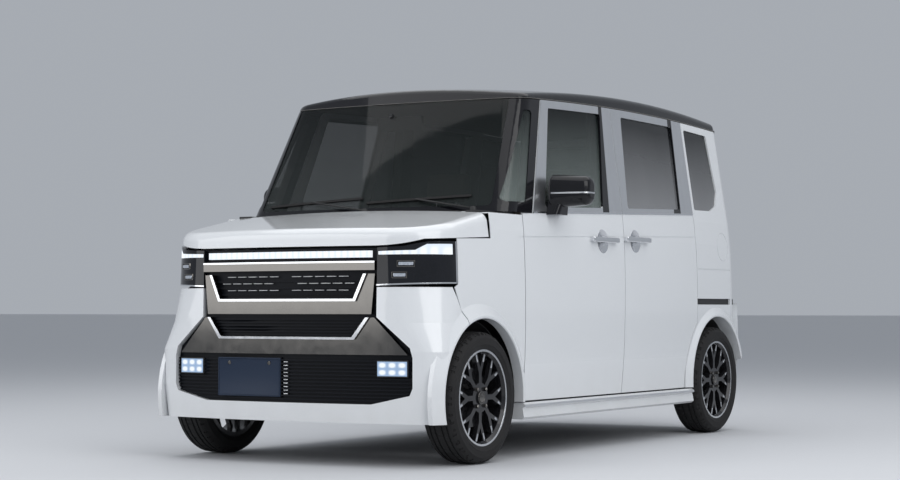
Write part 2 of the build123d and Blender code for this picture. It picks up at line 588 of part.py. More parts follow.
with BuildPart() as door_front_left:
    add(left_wall)
    add(side_prism([(DOOR_FRONT_Y, DOOR_FOOT_Z), (DOOR_FRONT_Y, FRAME_FOOT_Z - 2),
                    (FRAME_FOOT_Y, FRAME_FOOT_Z - 2), (FRAME_HEAD_Y + 2 * GAP, FRAME_HEAD_Z + 30),
                    (b_joint(HEIGHT) - GAP / 2, HEIGHT), (b_joint(DOOR_FOOT_Z) - GAP / 2, DOOR_FOOT_Z)]),
        mode=Mode.INTERSECT)
    add(above_eaves(-GAP / 2), mode=Mode.SUBTRACT)
    add(left_rebate & side_prism(DOOR_GLASS, PANE_CORNER), mode=Mode.SUBTRACT)
    add(side_prism(DOOR_GLASS, LIGHT_CORNER, PANE_LAP), mode=Mode.SUBTRACT)
    add(side_wall(OVERHANG_SKIN, WALL + SKIN)
        & side_prism([(DOOR_FRONT_Y - WALL, FOOT_Z), (OVERHANG_Y, FOOT_Z), (OVERHANG_Y, BELT_Z - 10),
                      (DOOR_FRONT_Y - WALL, BELT_Z - 10)]), mode=Mode.SUBTRACT)
    add(handle_cup(DOOR_HANDLE_Y), mode=Mode.SUBTRACT)
    add(character_groove, mode=Mode.SUBTRACT)
    for hinge_z in HINGE_HEIGHTS:
        for low, high in ((LEAF_HALF + 1, PIN_HALF), (-PIN_HALF, -LEAF_HALF - 1)):
            with BuildSketch(Plane.XY.offset(hinge_z + low)):
                with Locations((HINGE_X, HINGE_Y)):
                    Circle(KNUCKLE_RADIUS)
                with Locations((HINGE_X - 8, HINGE_Y)):
                    Rectangle(14, 26, align=(Align.CENTER, Align.MIN))
                with Locations((HINGE_X, HINGE_Y)):
                    Circle(PIN_RADIUS + HINGE_CLEARANCE, mode=Mode.SUBTRACT)
            extrude(amount=high - low)
door_front_left.part.label = "door_front_left"

with BuildPart() as door_front_right:
    add(mirror(door_front_left.part, about=Plane.YZ))
door_front_right.part.label = "door_front_right"

with BuildPart() as glass_front_left:
    add(left_pane)
    add(side_prism(DOOR_GLASS, PANE_CORNER - 1, 1.0), mode=Mode.INTERSECT)
glass_front_left.part.label = "glass_front_left"

with BuildPart() as glass_front_right:
    add(mirror(glass_front_left.part, about=Plane.YZ))
glass_front_right.part.label = "glass_front_right"

# Hinge pins: goose-necked arms from the hinge pillars
HINGE_PILLAR_FACE_Y = DOOR_FRONT_Y - 15.0
ARM_OUT_X, ARM_IN_X, ARM_HALF = HINGE_X - 57.0, HINGE_X - 77.0, 6.0
with BuildPart() as door_hinges:
    for hinge_z in HINGE_HEIGHTS:
        with BuildSketch(Plane.XY.offset(hinge_z - LEAF_HALF)):
            with BuildLine():
                Polyline((HINGE_X, HINGE_Y - ARM_HALF), (ARM_OUT_X, HINGE_Y - ARM_HALF),
                         (ARM_OUT_X, HINGE_PILLAR_FACE_Y), (ARM_IN_X, HINGE_PILLAR_FACE_Y),
                         (ARM_IN_X, HINGE_Y + ARM_HALF), (HINGE_X, HINGE_Y + ARM_HALF), close=True)
            make_face()
            with Locations((HINGE_X, HINGE_Y)):
                Circle(KNUCKLE_RADIUS)
        extrude(amount=2 * LEAF_HALF)
        with Locations((HINGE_X, HINGE_Y, hinge_z)):
            Cylinder(PIN_RADIUS, 2 * PIN_HALF)
    mirror(about=Plane.YZ)
door_hinges.part.label = "door_hinges"

# Sliding rear doors
SLIDER_GLASS = pane_outline(B_JOINT_LOW_Y + 84.0, C_JOINT_Y - 156.0,
                            C_JOINT_Y - 120.0, B_JOINT_HIGH_Y + 103.0)
with BuildPart() as sliding_doors:
    add(left_wall)
    add(side_prism([(b_joint(DOOR_FOOT_Z) + GAP / 2, DOOR_FOOT_Z), (b_joint(HEIGHT) + GAP / 2, HEIGHT),
                    (C_JOINT_Y - GAP / 2, HEIGHT), (C_JOINT_Y - GAP / 2, DOOR_FOOT_Z)]), mode=Mode.INTERSECT)
    add(above_eaves(-GAP / 2), mode=Mode.SUBTRACT)
    add(wheel_drum(REAR_AXLE_Y, DOOR_ARC_RADIUS), mode=Mode.SUBTRACT)
    add(left_rebate & side_prism(SLIDER_GLASS, PANE_CORNER), mode=Mode.SUBTRACT)
    add(side_prism(SLIDER_GLASS, LIGHT_CORNER, PANE_LAP), mode=Mode.SUBTRACT)
    add(handle_cup(SLIDER_HANDLE_Y), mode=Mode.SUBTRACT)
    add(character_groove, mode=Mode.SUBTRACT)
    mirror(about=Plane.YZ)
sliding_doors.part.label = "sliding_doors"

# Rear quarters: the body sides behind the sliding doors, with the back corners
QUARTER_REAR_Y, QUARTER_FRONT_Y = REAR_AXLE_Y + 150.0, C_JOINT_Y + 18.0
QUARTER_SILL_Z = sill_line(C_JOINT_Y)
QUARTER_GLASS = [(QUARTER_FRONT_Y, QUARTER_SILL_Z), (QUARTER_REAR_Y - 140.0, QUARTER_SILL_Z + 4.0),
                 (QUARTER_REAR_Y - 45.0, QUARTER_SILL_Z + 38.0), (QUARTER_REAR_Y, QUARTER_SILL_Z + 120.0),
                 (QUARTER_REAR_Y - 46.0, glass_top(QUARTER_REAR_Y)), (QUARTER_FRONT_Y, glass_top(C_JOINT_Y))]
TAILGATE_HALF = 600.0
BUMPER_TOP_Z = WAIST_Z - 10.0
LAMP_LOW_Z, LAMP_HIGH_Z, LAMP_FRONT_Y = BUMPER_TOP_Z + 52.0, BELT_Z + 30.0, REAR_AXLE_Y + 303.0
RAIL_LOW_Z, RAIL_HIGH_Z, RAIL_DEPTH = 681.0, 713.0, 14.0
SEAM_Z = 868.0
LID_Y, LID_Z, LID_RADIUS = REAR_AXLE_Y + 130.0, 992.0, 77.0
lamp_box = [(TAILGATE_HALF - GAP, LAMP_LOW_Z), (FAR_X, LAMP_LOW_Z), (FAR_X, LAMP_HIGH_Z),
            (TAILGATE_HALF - GAP, LAMP_HIGH_Z)]
quarter_bounds = side_prism(
    [(C_JOINT_Y + GAP / 2, CREASE_Z), (C_JOINT_Y + GAP / 2, HEIGHT), (FAR_REAR, HEIGHT),
     (FAR_REAR, BUMPER_TOP_Z + GAP), (REAR_BUMPER_Y - GAP, BUMPER_TOP_Z + GAP),
     (REAR_BUMPER_Y - GAP, CREASE_Z)],
    x_from=TAILGATE_HALF)
arch_bounds = wheel_drum(REAR_AXLE_Y, DOOR_ARC_RADIUS - GAP, TAILGATE_HALF) & side_prism(
    [(MIDDLE_Y, DOOR_FOOT_Z), (REAR_BUMPER_Y - GAP, DOOR_FOOT_Z),
     (REAR_BUMPER_Y - GAP, WAIST_Z), (MIDDLE_Y, WAIST_Z)])
with BuildPart() as rear_quarters:
    add(left_wall)
    add(corner_wall(0.0, CORNER_WALL))
    add(arch_flare(REAR_AXLE_Y, DOOR_ARC_RADIUS - GAP))
    add(quarter_bounds + arch_bounds, mode=Mode.INTERSECT)
    add(above_eaves(-GAP / 2), mode=Mode.SUBTRACT)
    add(rear_arch, mode=Mode.SUBTRACT)
    add(left_rebate & side_prism(QUARTER_GLASS, PANE_CORNER), mode=Mode.SUBTRACT)
    add(side_prism(QUARTER_GLASS, LIGHT_CORNER, PANE_LAP), mode=Mode.SUBTRACT)
    add(front_prism(lamp_box, LAMP_FRONT_Y, FAR_REAR), mode=Mode.SUBTRACT)
    add(side_wall(-SKIN, RAIL_DEPTH)
        & side_prism([(C_JOINT_Y, RAIL_LOW_Z), (REAR_BUMPER_Y, RAIL_LOW_Z), (REAR_BUMPER_Y, RAIL_HIGH_Z),
                      (C_JOINT_Y, RAIL_HIGH_Z)]), mode=Mode.SUBTRACT)
    add(groove_skin
        & side_prism([(C_JOINT_Y, SEAM_Z - GROOVE_HALF), (REAR_BUMPER_Y, SEAM_Z - GROOVE_HALF),
                      (REAR_BUMPER_Y, SEAM_Z + GROOVE_HALF), (C_JOINT_Y, SEAM_Z + GROOVE_HALF)]),
        mode=Mode.SUBTRACT)
    mirror(about=Plane.YZ)
    with BuildPart(mode=Mode.PRIVATE) as lid_gap:
        with BuildSketch(Plane.YZ.offset(INNER_X)):
            with Locations((LID_Y, LID_Z)):
                Circle(LID_RADIUS)
                Circle(LID_RADIUS - 4.0, mode=Mode.SUBTRACT)
        extrude(amount=FAR_X - INNER_X)
    add(groove_skin & lid_gap.part, mode=Mode.SUBTRACT)
rear_quarters.part.label = "rear_quarters"

# Tail lamps: upright blocks in the back corners
with BuildPart() as tail_lamps:
    add(corner_wall(0.0, CORNER_WALL - 8.0))
    add(front_prism(lamp_box, LAMP_FRONT_Y + FIT, FAR_REAR, inset=FIT), mode=Mode.INTERSECT)
    add(front_prism([(0, 0), (TAILGATE_HALF + 2, 0), (TAILGATE_HALF + 2, HEIGHT), (0, HEIGHT)], 0, FAR_REAR),
        mode=Mode.SUBTRACT)
    mirror(about=Plane.YZ)
tail_lamps.part.label = "tail_lamps"

# Tinted panes of the sliding doors and quarters
with BuildPart() as privacy_glass:
    add(left_pane & side_prism(SLIDER_GLASS, PANE_CORNER - 1, 1.0))
    add(left_pane & side_prism(QUARTER_GLASS, PANE_CORNER - 1, 1.0))
    mirror(about=Plane.YZ)
privacy_glass.part.label = "privacy_glass"

# Tailgate: hung from the roof's back edge, with a flat for the number plate
GATE_GLASS = [(515.0, BELT_Z + 36.0), (484.0, EAVES_Z - 64.0)]
PLATE_WIDTH, PLATE_HEIGHT = 330.0, 165.0
PLATE_HOLE_SPACING, PLATE_HOLE_RADIUS, PLATE_HOLE_RISE = 210.0, 3.5, 60.0
REAR_PLATE_Z, REAR_PLATE_FACE_Y = 840.0, TAIL_Y - 18.0
with BuildPart() as tailgate:
    add(corner_wall(0.0, CORNER_WALL))
    mirror(about=Plane.YZ)
    add(tail_wall(0.0, WALL))
    add(front_prism(mirrored([(TAILGATE_HALF - GAP, BUMPER_TOP_Z + GAP), (TAILGATE_HALF - GAP, HEIGHT)]),
                    MIDDLE_Y, FAR_REAR), mode=Mode.INTERSECT)
    add(above_eaves(-GAP), mode=Mode.SUBTRACT)
    add(tail_wall(PANE_OUT - FIT, WALL + SKIN) & front_prism(mirrored(GATE_GLASS), MIDDLE_Y, FAR_REAR, 30.0),
        mode=Mode.SUBTRACT)
    add(front_prism(mirrored(GATE_GLASS), MIDDLE_Y, FAR_REAR, 24.0, 14.0), mode=Mode.SUBTRACT)
    with Locations((0, REAR_PLATE_FACE_Y, REAR_PLATE_Z)):
        Box(PLATE_WIDTH + 40, WALL, PLATE_HEIGHT + 30, align=(Align.CENTER, Align.MIN, Align.CENTER),
            mode=Mode.SUBTRACT)
    for side in (-1, 1):
        place = (side * PLATE_HOLE_SPACING / 2, REAR_PLATE_FACE_Y, REAR_PLATE_Z + PLATE_HOLE_RISE)
        with Locations(Location(place, (90, 0, 0))):
            Cylinder(PLATE_HOLE_RADIUS, 2 * WALL, mode=Mode.SUBTRACT)
tailgate.part.label = "tailgate"

with BuildPart() as tailgate_glass:
    add(tail_wall(PANE_OUT, PANE_IN))
    add(front_prism(mirrored(GATE_GLASS), MIDDLE_Y, FAR_REAR, 29.0, 1.0), mode=Mode.INTERSECT)
tailgate_glass.part.label = "tailgate_glass"

# Rear bumper: a wide shell that stands proud of the back
REAR_BUMPER_FOOT_Z = 205.0
BOOT_FLOOR_Z, BOOT_THICK = 480.0, 30.0
BUMPER_WALL = 38.0
TAIL_ROWS = ((REAR_BUMPER_FOOT_Z, 16.0, 110.0), (CREASE_Z, 0.0, 110.0), (BUMPER_TOP_Z, 8.0, 120.0))
with BuildPart() as rear_bumper:
    add(tail_block(TAIL_ROWS, 0.0))
    add(tail_block(TAIL_ROWS, BUMPER_WALL), mode=Mode.SUBTRACT)
    add(across([(REAR_BUMPER_Y, FOOT_Z), (FAR_REAR, FOOT_Z), (FAR_REAR, WAIST_Z), (REAR_BUMPER_Y, WAIST_Z)]),
        mode=Mode.INTERSECT)
    with Locations((0, REAR_BUMPER_Y - BOOT_THICK, BOOT_FLOOR_Z - BOOT_THICK)):
        Box(500, TAIL_Y - REAR_BUMPER_Y + BUMPER_WALL, BOOT_THICK,
            align=(Align.CENTER, Align.MIN, Align.CENTER))
    add(rear_arch, mode=Mode.SUBTRACT)
rear_bumper.part.label = "rear_bumper"

# Front bumper: corners that square up and swell towards the ground, round a wide mouth
BUMPER_FOOT_Z = 183.0
BUMPER_ROWS = ((BUMPER_FOOT_Z, 8.0, 75.0, -22.0), (330.0, 0.0, 78.0, -30.0), (480.0, 0.0, 92.0, -27.0),
               (600.0, 4.0, 190.0, -8.0), (BUMPER_TOP_FRONT_Z, 8.0, 250.0, 3.0))
MOUTH_HALF, MOUTH_TOP_Z = 450.0, 912.0
MOUTH = [(426.0, 262.0), (600.0, 300.0), (614.0, 330.0), (614.0, 456.0), (602.0, 496.0), (MOUTH_HALF, 624.0),
         (MOUTH_HALF, MOUTH_TOP_Z)]
NOSE_REAR_Y = FRONT_AXLE_Y - 250.0
with BuildPart() as front_bumper:
    add(nose_block(BUMPER_ROWS, 0.0))
    add(nose_block(BUMPER_ROWS, BUMPER_WALL), mode=Mode.SUBTRACT)
    add(front_prism(mirrored(MOUTH), FAR_FRONT, NOSE_REAR_Y), mode=Mode.SUBTRACT)
    flare_front = side_prism([(FAR_FRONT, BUMPER_FOOT_Z), (FRONT_AXLE_Y, BUMPER_FOOT_Z),
                              (FRONT_AXLE_Y, WAIST_Z), (FAR_FRONT, WAIST_Z)])
    add(both_sides(front_flare & flare_front))
    joint = [(y - GAP, z - GAP / 2) for y, z in BUMPER_JOINT]
    add(across([(FAR_FRONT, FOOT_Z), (joint[0][0], FOOT_Z)] + joint[1:]
               + [(joint[2][0], BUMPER_TOP_FRONT_Z + GAP), (FAR_FRONT, BUMPER_TOP_FRONT_Z + GAP)]),
        mode=Mode.INTERSECT)
    add(front_arch, mode=Mode.SUBTRACT)
front_bumper.part.label = "front_bumper"

# Headlamps: smoked blocks that wrap round the front corners, each with a lit guide along its brow
LAMP_ROWS = ((WAIST_Z, 8.0, 235.0, 2.0), (1000.0, 12.0, 238.0, 2.0))
LAMP_DEPTH = 60.0
LAMP_REAR_Y = FRONT_AXLE_Y - 187.0
LAMP_OUTLINE = [(MOUTH_HALF, 754.0), (FAR_X, 766.0), (FAR_X, 943.0), (650.0, 938.0), (560.0, 917.0),
                (MOUTH_HALF, MOUTH_TOP_Z)]
GUIDE_OUTLINE = [(MOUTH_HALF + 4, 882.0), (FAR_X, 884.0), (FAR_X, 933.0), (640.0, 927.0), (604.0, 902.0),
                 (MOUTH_HALF + 4, 898.0)]
GUIDE_REAR_Y = LAMP_REAR_Y - 22.0
GUIDE_DEPTH = 14.0
guide_bar = front_prism(GUIDE_OUTLINE, FAR_FRONT, GUIDE_REAR_Y)
with BuildPart() as headlamps:
    add(nose_block(LAMP_ROWS, 0.0))
    add(nose_block(LAMP_ROWS, LAMP_DEPTH), mode=Mode.SUBTRACT)
    add(front_prism(LAMP_OUTLINE, FAR_FRONT, LAMP_REAR_Y), mode=Mode.INTERSECT)
    add(guide_bar - nose_block(LAMP_ROWS, GUIDE_DEPTH), mode=Mode.SUBTRACT)
    mirror(about=Plane.YZ)
headlamps.part.label = "headlamps"

with BuildPart() as lamp_guides:
    add(nose_block(LAMP_ROWS, 1.0))
    add(nose_block(LAMP_ROWS, GUIDE_DEPTH - FIT), mode=Mode.SUBTRACT)
    add(front_prism(GUIDE_OUTLINE, FAR_FRONT, GUIDE_REAR_Y - 1.0, inset=1.0), mode=Mode.INTERSECT)
    mirror(about=Plane.YZ)
lamp_guides.part.label = "lamp_guides"

# Grille: a dark bowed panel behind the bumper's mouth, with its slats and the plate's flat
GRILLE_OUT, GRILLE_THICK = 30.0, 14.0
PLATE_X, PLATE_Z, PLATE_OUT = -190.0, 367.0, 22.0
PLATE_FACE_Y = FRONT_Y + PLATE_OUT
SLAT_OUT, SLAT_HALF = 20.0, 3.0
SLAT_ROWS = (
    # first height, pitch, count, and the half outline of the opening that they fill
    (719.0, 28.0, 3, [(344.0, 700.0), (391.0, 804.0)]),
    (548.0, 13.0, 6, [(337.0, 540.0), (401.0, 622.0)]),
    (276.0, 15.0, 12, MOUTH[:4]),
)
with BuildPart() as grille:
    add(nose_band(GRILLE_OUT, GRILLE_OUT + GRILLE_THICK, 255.0, MOUTH_TOP_Z + 3, 640.0))
    for first_z, pitch, count, opening in SLAT_ROWS:
        with BuildPart(mode=Mode.PRIVATE) as slats:
            for index in range(count):
                slat_z = first_z + pitch * index
                add(nose_band(SLAT_OUT, GRILLE_OUT + 1, slat_z - SLAT_HALF, slat_z + SLAT_HALF, SIDE_X))
            add(front_prism(mirrored(opening), FAR_FRONT, NOSE_REAR_Y, inset=FIT), mode=Mode.INTERSECT)
        add(slats.part)
    add(front_prism(mirrored(MOUTH), FAR_FRONT, NOSE_REAR_Y, inset=FIT), mode=Mode.INTERSECT)
    with Locations((PLATE_X, PLATE_FACE_Y, PLATE_Z)):
        Box(PLATE_WIDTH + GAP, GRILLE_OUT + GRILLE_THICK - PLATE_OUT, PLATE_HEIGHT + GAP,
            align=(Align.CENTER, Align.MIN, Align.CENTER))
        Box(PLATE_WIDTH + GAP, WALL, PLATE_HEIGHT + GAP, align=(Align.CENTER, Align.MAX, Align.CENTER),
            mode=Mode.SUBTRACT)
    for side in (-1, 1):
        place = (PLATE_X + side * PLATE_HOLE_SPACING / 2, PLATE_FACE_Y, PLATE_Z + PLATE_HOLE_RISE)
        with Locations(Location(place, (90, 0, 0))):
            Cylinder(PLATE_HOLE_RADIUS, 2 * WALL, mode=Mode.SUBTRACT)
grille.part.label = "grille"

# Chrome work: a straight bar, and two wide cups whose panels sit behind their bright lips
BAR_LOW_Z, BAR_HIGH_Z = 819.0, 857.0
CUP_ROWS = (
    # outline from bottom middle outwards, then the opening's lip
    ([(424.0, 636.0), (440.0, 804.0), (392.0, 804.0), (345.0, 700.0)], [(355.0, 690.0), (406.0, 804.0)]),
    ([(588.0, 467.0), (437.0, 622.0), (402.0, 622.0), (338.0, 540.0)], [(350.0, 530.0), (418.0, 622.0)]),
)
PANEL_OUT = 9.0
CHROME_BACK = GRILLE_OUT - FIT
with BuildPart() as grille_chrome:
    add(nose_band(0.0, CHROME_BACK, BAR_LOW_Z, BAR_HIGH_Z, MOUTH_HALF - 6))
    for outline, lip in CUP_ROWS:
        low, high = outline[0][1], outline[1][1]
        cup = front_prism(mirrored(outline), FAR_FRONT, NOSE_REAR_Y)
        add(cup & nose_band(PANEL_OUT, CHROME_BACK, low, high, outline[0][0] + WALL))
        lip_bar = front_prism(mirrored(lip), FAR_FRONT, NOSE_REAR_Y)
        add(cup & lip_bar & nose_band(0.0, CHROME_BACK, low, high, MOUTH_HALF))
grille_chrome.part.label = "grille_chrome"

with BuildPart() as light_bar:
    add(nose_band(8.0, CHROME_BACK, 872.0, 900.0, MOUTH_HALF - 32))
light_bar.part.label = "light_bar"

FOG_X, FOG_Z, FOG_HALF, FOG_HEIGHT = 519.0, 410.0, 66.0, 60.0
with BuildPart() as fog_lamps:
    add(nose_band(8.0, SLAT_OUT - FIT, FOG_Z - FOG_HEIGHT / 2, FOG_Z + FOG_HEIGHT / 2, FOG_X + FOG_HALF))
    add(front_prism([(FOG_X - FOG_HALF, FOOT_Z), (FOG_X + FOG_HALF, FOOT_Z), (FOG_X + FOG_HALF, WAIST_Z),
                     (FOG_X - FOG_HALF, WAIST_Z)], FAR_FRONT, NOSE_REAR_Y), mode=Mode.INTERSECT)
    mirror(about=Plane.YZ)
fog_lamps.part.label = "fog_lamps"

# Floor, bulkhead and boot floor
FLOOR_Z, FLOOR_THICK, FLOOR_HALF = 205.0, 40.0, 590.0
BULKHEAD_Y, BULKHEAD_THICK = DOOR_FRONT_Y - 18.0, 40.0
HEEL_Y = REAR_AXLE_Y - 375.0
BOOT_HALF = 530.0
with BuildPart() as floor_pan:
    with Locations((0, BULKHEAD_Y, FLOOR_Z)):
        Box(2 * FLOOR_HALF, HEEL_Y - BULKHEAD_Y, FLOOR_THICK, align=(Align.CENTER, Align.MIN, Align.MIN))
        Box(2 * FLOOR_HALF, BULKHEAD_THICK, FRAME_FOOT_Z - FLOOR_Z - FLOOR_THICK,
            align=(Align.CENTER, Align.MIN, Align.MIN))
    with Locations((0, HEEL_Y, FLOOR_Z)):
        Box(2 * BOOT_HALF, 25, BOOT_FLOOR_Z - FLOOR_Z, align=(Align.CENTER, Align.MIN, Align.MIN))
    with Locations((0, HEEL_Y, BOOT_FLOOR_Z)):
        Box(2 * BOOT_HALF, REAR_BUMPER_Y - HEEL_Y - BOOT_THICK, BOOT_THICK,
            align=(Align.CENTER, Align.MIN, Align.MAX))
floor_pan.part.label = "floor_pan"

# Pillars behind the fenders and between the doors, with the pads that carry the skins
PILLAR_LOW_Z = WHEEL_Z + ARCH_RADIUS + 3.0
PAD_Z = 850.0
with BuildPart() as pillars:
    with Locations((FLOOR_HALF + 42.5, BULKHEAD_Y - 60, PILLAR_LOW_Z)):
        Box(85, 80, FRAME_FOOT_Z - PILLAR_LOW_Z, align=(Align.CENTER, Align.CENTER, Align.MIN))
    with Locations((FLOOR_HALF + 38.5, BULKHEAD_Y + 3, SILL_TOP_Z)):
        Box(77, 23, FRAME_FOOT_Z - SILL_TOP_Z, align=(Align.CENTER, Align.MAX, Align.MIN))
    with BuildPart(mode=Mode.PRIVATE) as fender_pad:
        with Locations((FLOOR_HALF + 110, BULKHEAD_Y - 60, PAD_Z)):
            Box(90, 60, 120)
        add(side_wall(SKIN, WALL + SKIN), mode=Mode.INTERSECT)
    add(fender_pad.part)
    with BuildSketch(Plane.XY.offset(SILL_TOP_Z)):
        with Locations((FLOOR_HALF + 42, B_JOINT_LOW_Y + 23)):
            Rectangle(50, 130)
    with BuildSketch(Plane.XY.offset(eaves_at(B_JOINT_LOW_Y - WALL) + GAP / 2)):
        with Locations((FLOOR_HALF - 42, B_JOINT_HIGH_Y)):
            Rectangle(46, 100)
    loft(ruled=True)
    with BuildPart(mode=Mode.PRIVATE) as door_pad:
        with Locations((FLOOR_HALF + 70, B_JOINT_LOW_Y + 58, PAD_Z - 200)):
            Box(60, 56, 120)
        add(side_wall(WALL, 2 * WALL), mode=Mode.INTERSECT)
    add(door_pad.part)
    mirror(about=Plane.YZ)
pillars.part.label = "pillars"

# Sills under the doors: a folded skirt with a ledge along its top
SILL_ENDS = (DOOR_FRONT_Y - 46.0, C_JOINT_Y - 86.0)
SKIRT_FOOT_Z = 172.0
with BuildPart() as side_sills:
    with BuildSketch(Plane.XZ.offset(-SILL_ENDS[0])):
        with BuildLine():
            Polyline((FLOOR_HALF, SKIRT_FOOT_Z + 4), (FLARE_X - 15, SKIRT_FOOT_Z),
                     (FLARE_X - 4, SKIRT_FOOT_Z + 10), (FLARE_X - 11, SILL_TOP_Z - 24),
                     (FLARE_X, SILL_TOP_Z - 18), (FLARE_X, SILL_TOP_Z - 8), (FLARE_X - 12, SILL_TOP_Z),
                     (FLOOR_HALF, SILL_TOP_Z), close=True)
        make_face()
    extrude(amount=SILL_ENDS[0] - SILL_ENDS[1])
    add(front_arch, mode=Mode.SUBTRACT)
    add(rear_arch, mode=Mode.SUBTRACT)
    mirror(about=Plane.YZ)
side_sills.part.label = "side_sills"

# Wheel liners: half drums over the tyres
LINER_ROWS = (
    # axle, radius, inner and outer ends
    (FRONT_AXLE_Y, ARCH_RADIUS - 5.0, 375.0, 650.0),
    (REAR_AXLE_Y, ARCH_RADIUS + 5.0, BOOT_HALF, 690.0),
)
LINER_SKIN = 5.0
with BuildPart() as wheel_liners:
    for axle, radius, x_in, x_out in LINER_ROWS:
        with BuildPart(mode=Mode.PRIVATE) as liner:
            add(wheel_drum(axle, radius, x_in, x_out))
            add(wheel_drum(axle, radius - LINER_SKIN, x_in + LINER_SKIN, x_out), mode=Mode.SUBTRACT)
            add(wheel_drum(axle, 120.0, x_in - 1, x_in + 2 * LINER_SKIN), mode=Mode.SUBTRACT)
            with Locations((2 * INNER_X, axle, WHEEL_Z - 21)):
                Box(700, 720, 600, align=(Align.CENTER, Align.CENTER, Align.MIN), mode=Mode.INTERSECT)
            add(side_wall(-FIT, WALL + FIT), mode=Mode.SUBTRACT)
            add(corner_wall(-FIT, CORNER_WALL + FIT), mode=Mode.SUBTRACT)
            add(tail_block(TAIL_ROWS, -FIT), mode=Mode.SUBTRACT)
            add(nose_block(BUMPER_ROWS, -FIT) - nose_block(BUMPER_ROWS, BUMPER_WALL + FIT),
                mode=Mode.SUBTRACT)
        add(liner.part)
    mirror(about=Plane.YZ)
wheel_liners.part.label = "wheel_liners"

# Engine: one plain block across the bay
ENGINE_Y, ENGINE_FOOT_Z = FRONT_AXLE_Y + 20.0, 265.0
with BuildPart() as engine:
    with Locations((0, ENGINE_Y, ENGINE_FOOT_Z)):
        Box(640, 420, 575, align=(Align.CENTER, Align.CENTER, Align.MIN))
    fillet(engine.edges(), 25)
engine.part.label = "engine"

# Front rails, cross member, and lower arms out to the king pins
KING_LOW = (625.0, 180.0)
KING_HIGH = (500.0, 650.0)
KING_LEAN = (KING_LOW[0] - KING_HIGH[0]) / (KING_HIGH[1] - KING_LOW[1])
KING_TILT = -degrees(atan(KING_LEAN))
STUD_RADIUS, BOSS_RADIUS, BOSS_HEIGHT, BOSS_Z = 8.0, 14.0, 28.0, 190.0
ARM_LOW_Z, ARM_HIGH_Z, ARM_ROOT_X = 177.0, 203.0, 300.0
MEMBER_Y = FRONT_AXLE_Y + 70.0


def king_x(z):
    """Where the leaning king pin passes a height."""
    return KING_LOW[0] - KING_LEAN * (z - KING_LOW[1])


with BuildPart() as front_subframe:
    with Locations((0, MEMBER_Y, ARM_HIGH_Z + 2)):
        Box(660, 260, 60, align=(Align.CENTER, Align.CENTER, Align.MIN))
    with Locations((0, MEMBER_Y, ARM_LOW_Z)):
        Box(620, 200, 30, align=(Align.CENTER, Align.CENTER, Align.MIN))
    for side in (-1, 1):
        with Locations((side * 330, MEMBER_Y, WHEEL_Z + 49)):
            Box(20, 200, 190)
        with Locations((side * 347.5, FRONT_AXLE_Y - 15, WHEEL_Z + 99)):
            Box(55, 770, 90)
        boss = Location((side * king_x(BOSS_Z), FRONT_AXLE_Y, BOSS_Z), (0, side * KING_TILT, 0))
        with BuildSketch(Plane.XY.offset(ARM_LOW_Z)):
            with BuildLine():
                tip = king_x(BOSS_Z) - BOSS_RADIUS / 2
                Polyline((side * ARM_ROOT_X, FRONT_AXLE_Y - 40), (side * ARM_ROOT_X, FRONT_AXLE_Y + 80),
                         (side * tip, FRONT_AXLE_Y + BOSS_RADIUS - 2),
                         (side * tip, FRONT_AXLE_Y - BOSS_RADIUS + 2), close=True)
            make_face()
        extrude(amount=ARM_HIGH_Z - ARM_LOW_Z)
        with Locations(boss):
            Cylinder(BOSS_RADIUS, BOSS_HEIGHT)
            Cylinder(STUD_RADIUS + HINGE_CLEARANCE, 2 * BOSS_HEIGHT, mode=Mode.SUBTRACT)
    add(nose_band(-WALL, GRILLE_OUT + GRILLE_THICK + FIT, FLOOR_Z, 500.0, 640.0), mode=Mode.SUBTRACT)
front_subframe.part.label = "front_subframe"

# Rear beam axle with trailing arms
BEAM_Y = REAR_AXLE_Y - 90.0
with BuildPart() as rear_axle:
    with Locations((0, BEAM_Y, WHEEL_Z + 49)):
        Box(980, 90, 70)
    for side in (-1, 1):
        with Locations((side * 455, REAR_AXLE_Y + 80, WHEEL_Z + 19)):
            Box(60, 430, 60, align=(Align.CENTER, Align.MAX, Align.CENTER))
        with Locations(Location((side * (WHEEL_X - 104), REAR_AXLE_Y, WHEEL_Z), (0, 90, 0))):
            Cylinder(34, 187)
rear_axle.part.label = "rear_axle"

# Silencer on two hangers, and the tank under the front seats
SILENCER_X, SILENCER_Y, SILENCER_Z = -250.0, REAR_AXLE_Y + 210.0, 165.0
with BuildPart() as exhaust:
    with Locations((SILENCER_X, SILENCER_Y, SILENCER_Z)):
        Box(420, 170, 70)
    fillet(exhaust.edges(), 25)
    for side in (-1, 1):
        with Locations((SILENCER_X + side * 150, SILENCER_Y, BOOT_FLOOR_Z - BOOT_THICK)):
            Box(16, 16, BOOT_FLOOR_Z - BOOT_THICK - SILENCER_Z, align=(Align.CENTER, Align.CENTER, Align.MAX))
exhaust.part.label = "exhaust"

with BuildPart() as fuel_tank:
    with Locations((0, MIDDLE_Y - 10, FLOOR_Z)):
        Box(760, 900, 60, align=(Align.CENTER, Align.CENTER, Align.MAX))
    fillet(fuel_tank.edges().filter_by(Axis.Z), 60)
fuel_tank.part.label = "fuel_tank"

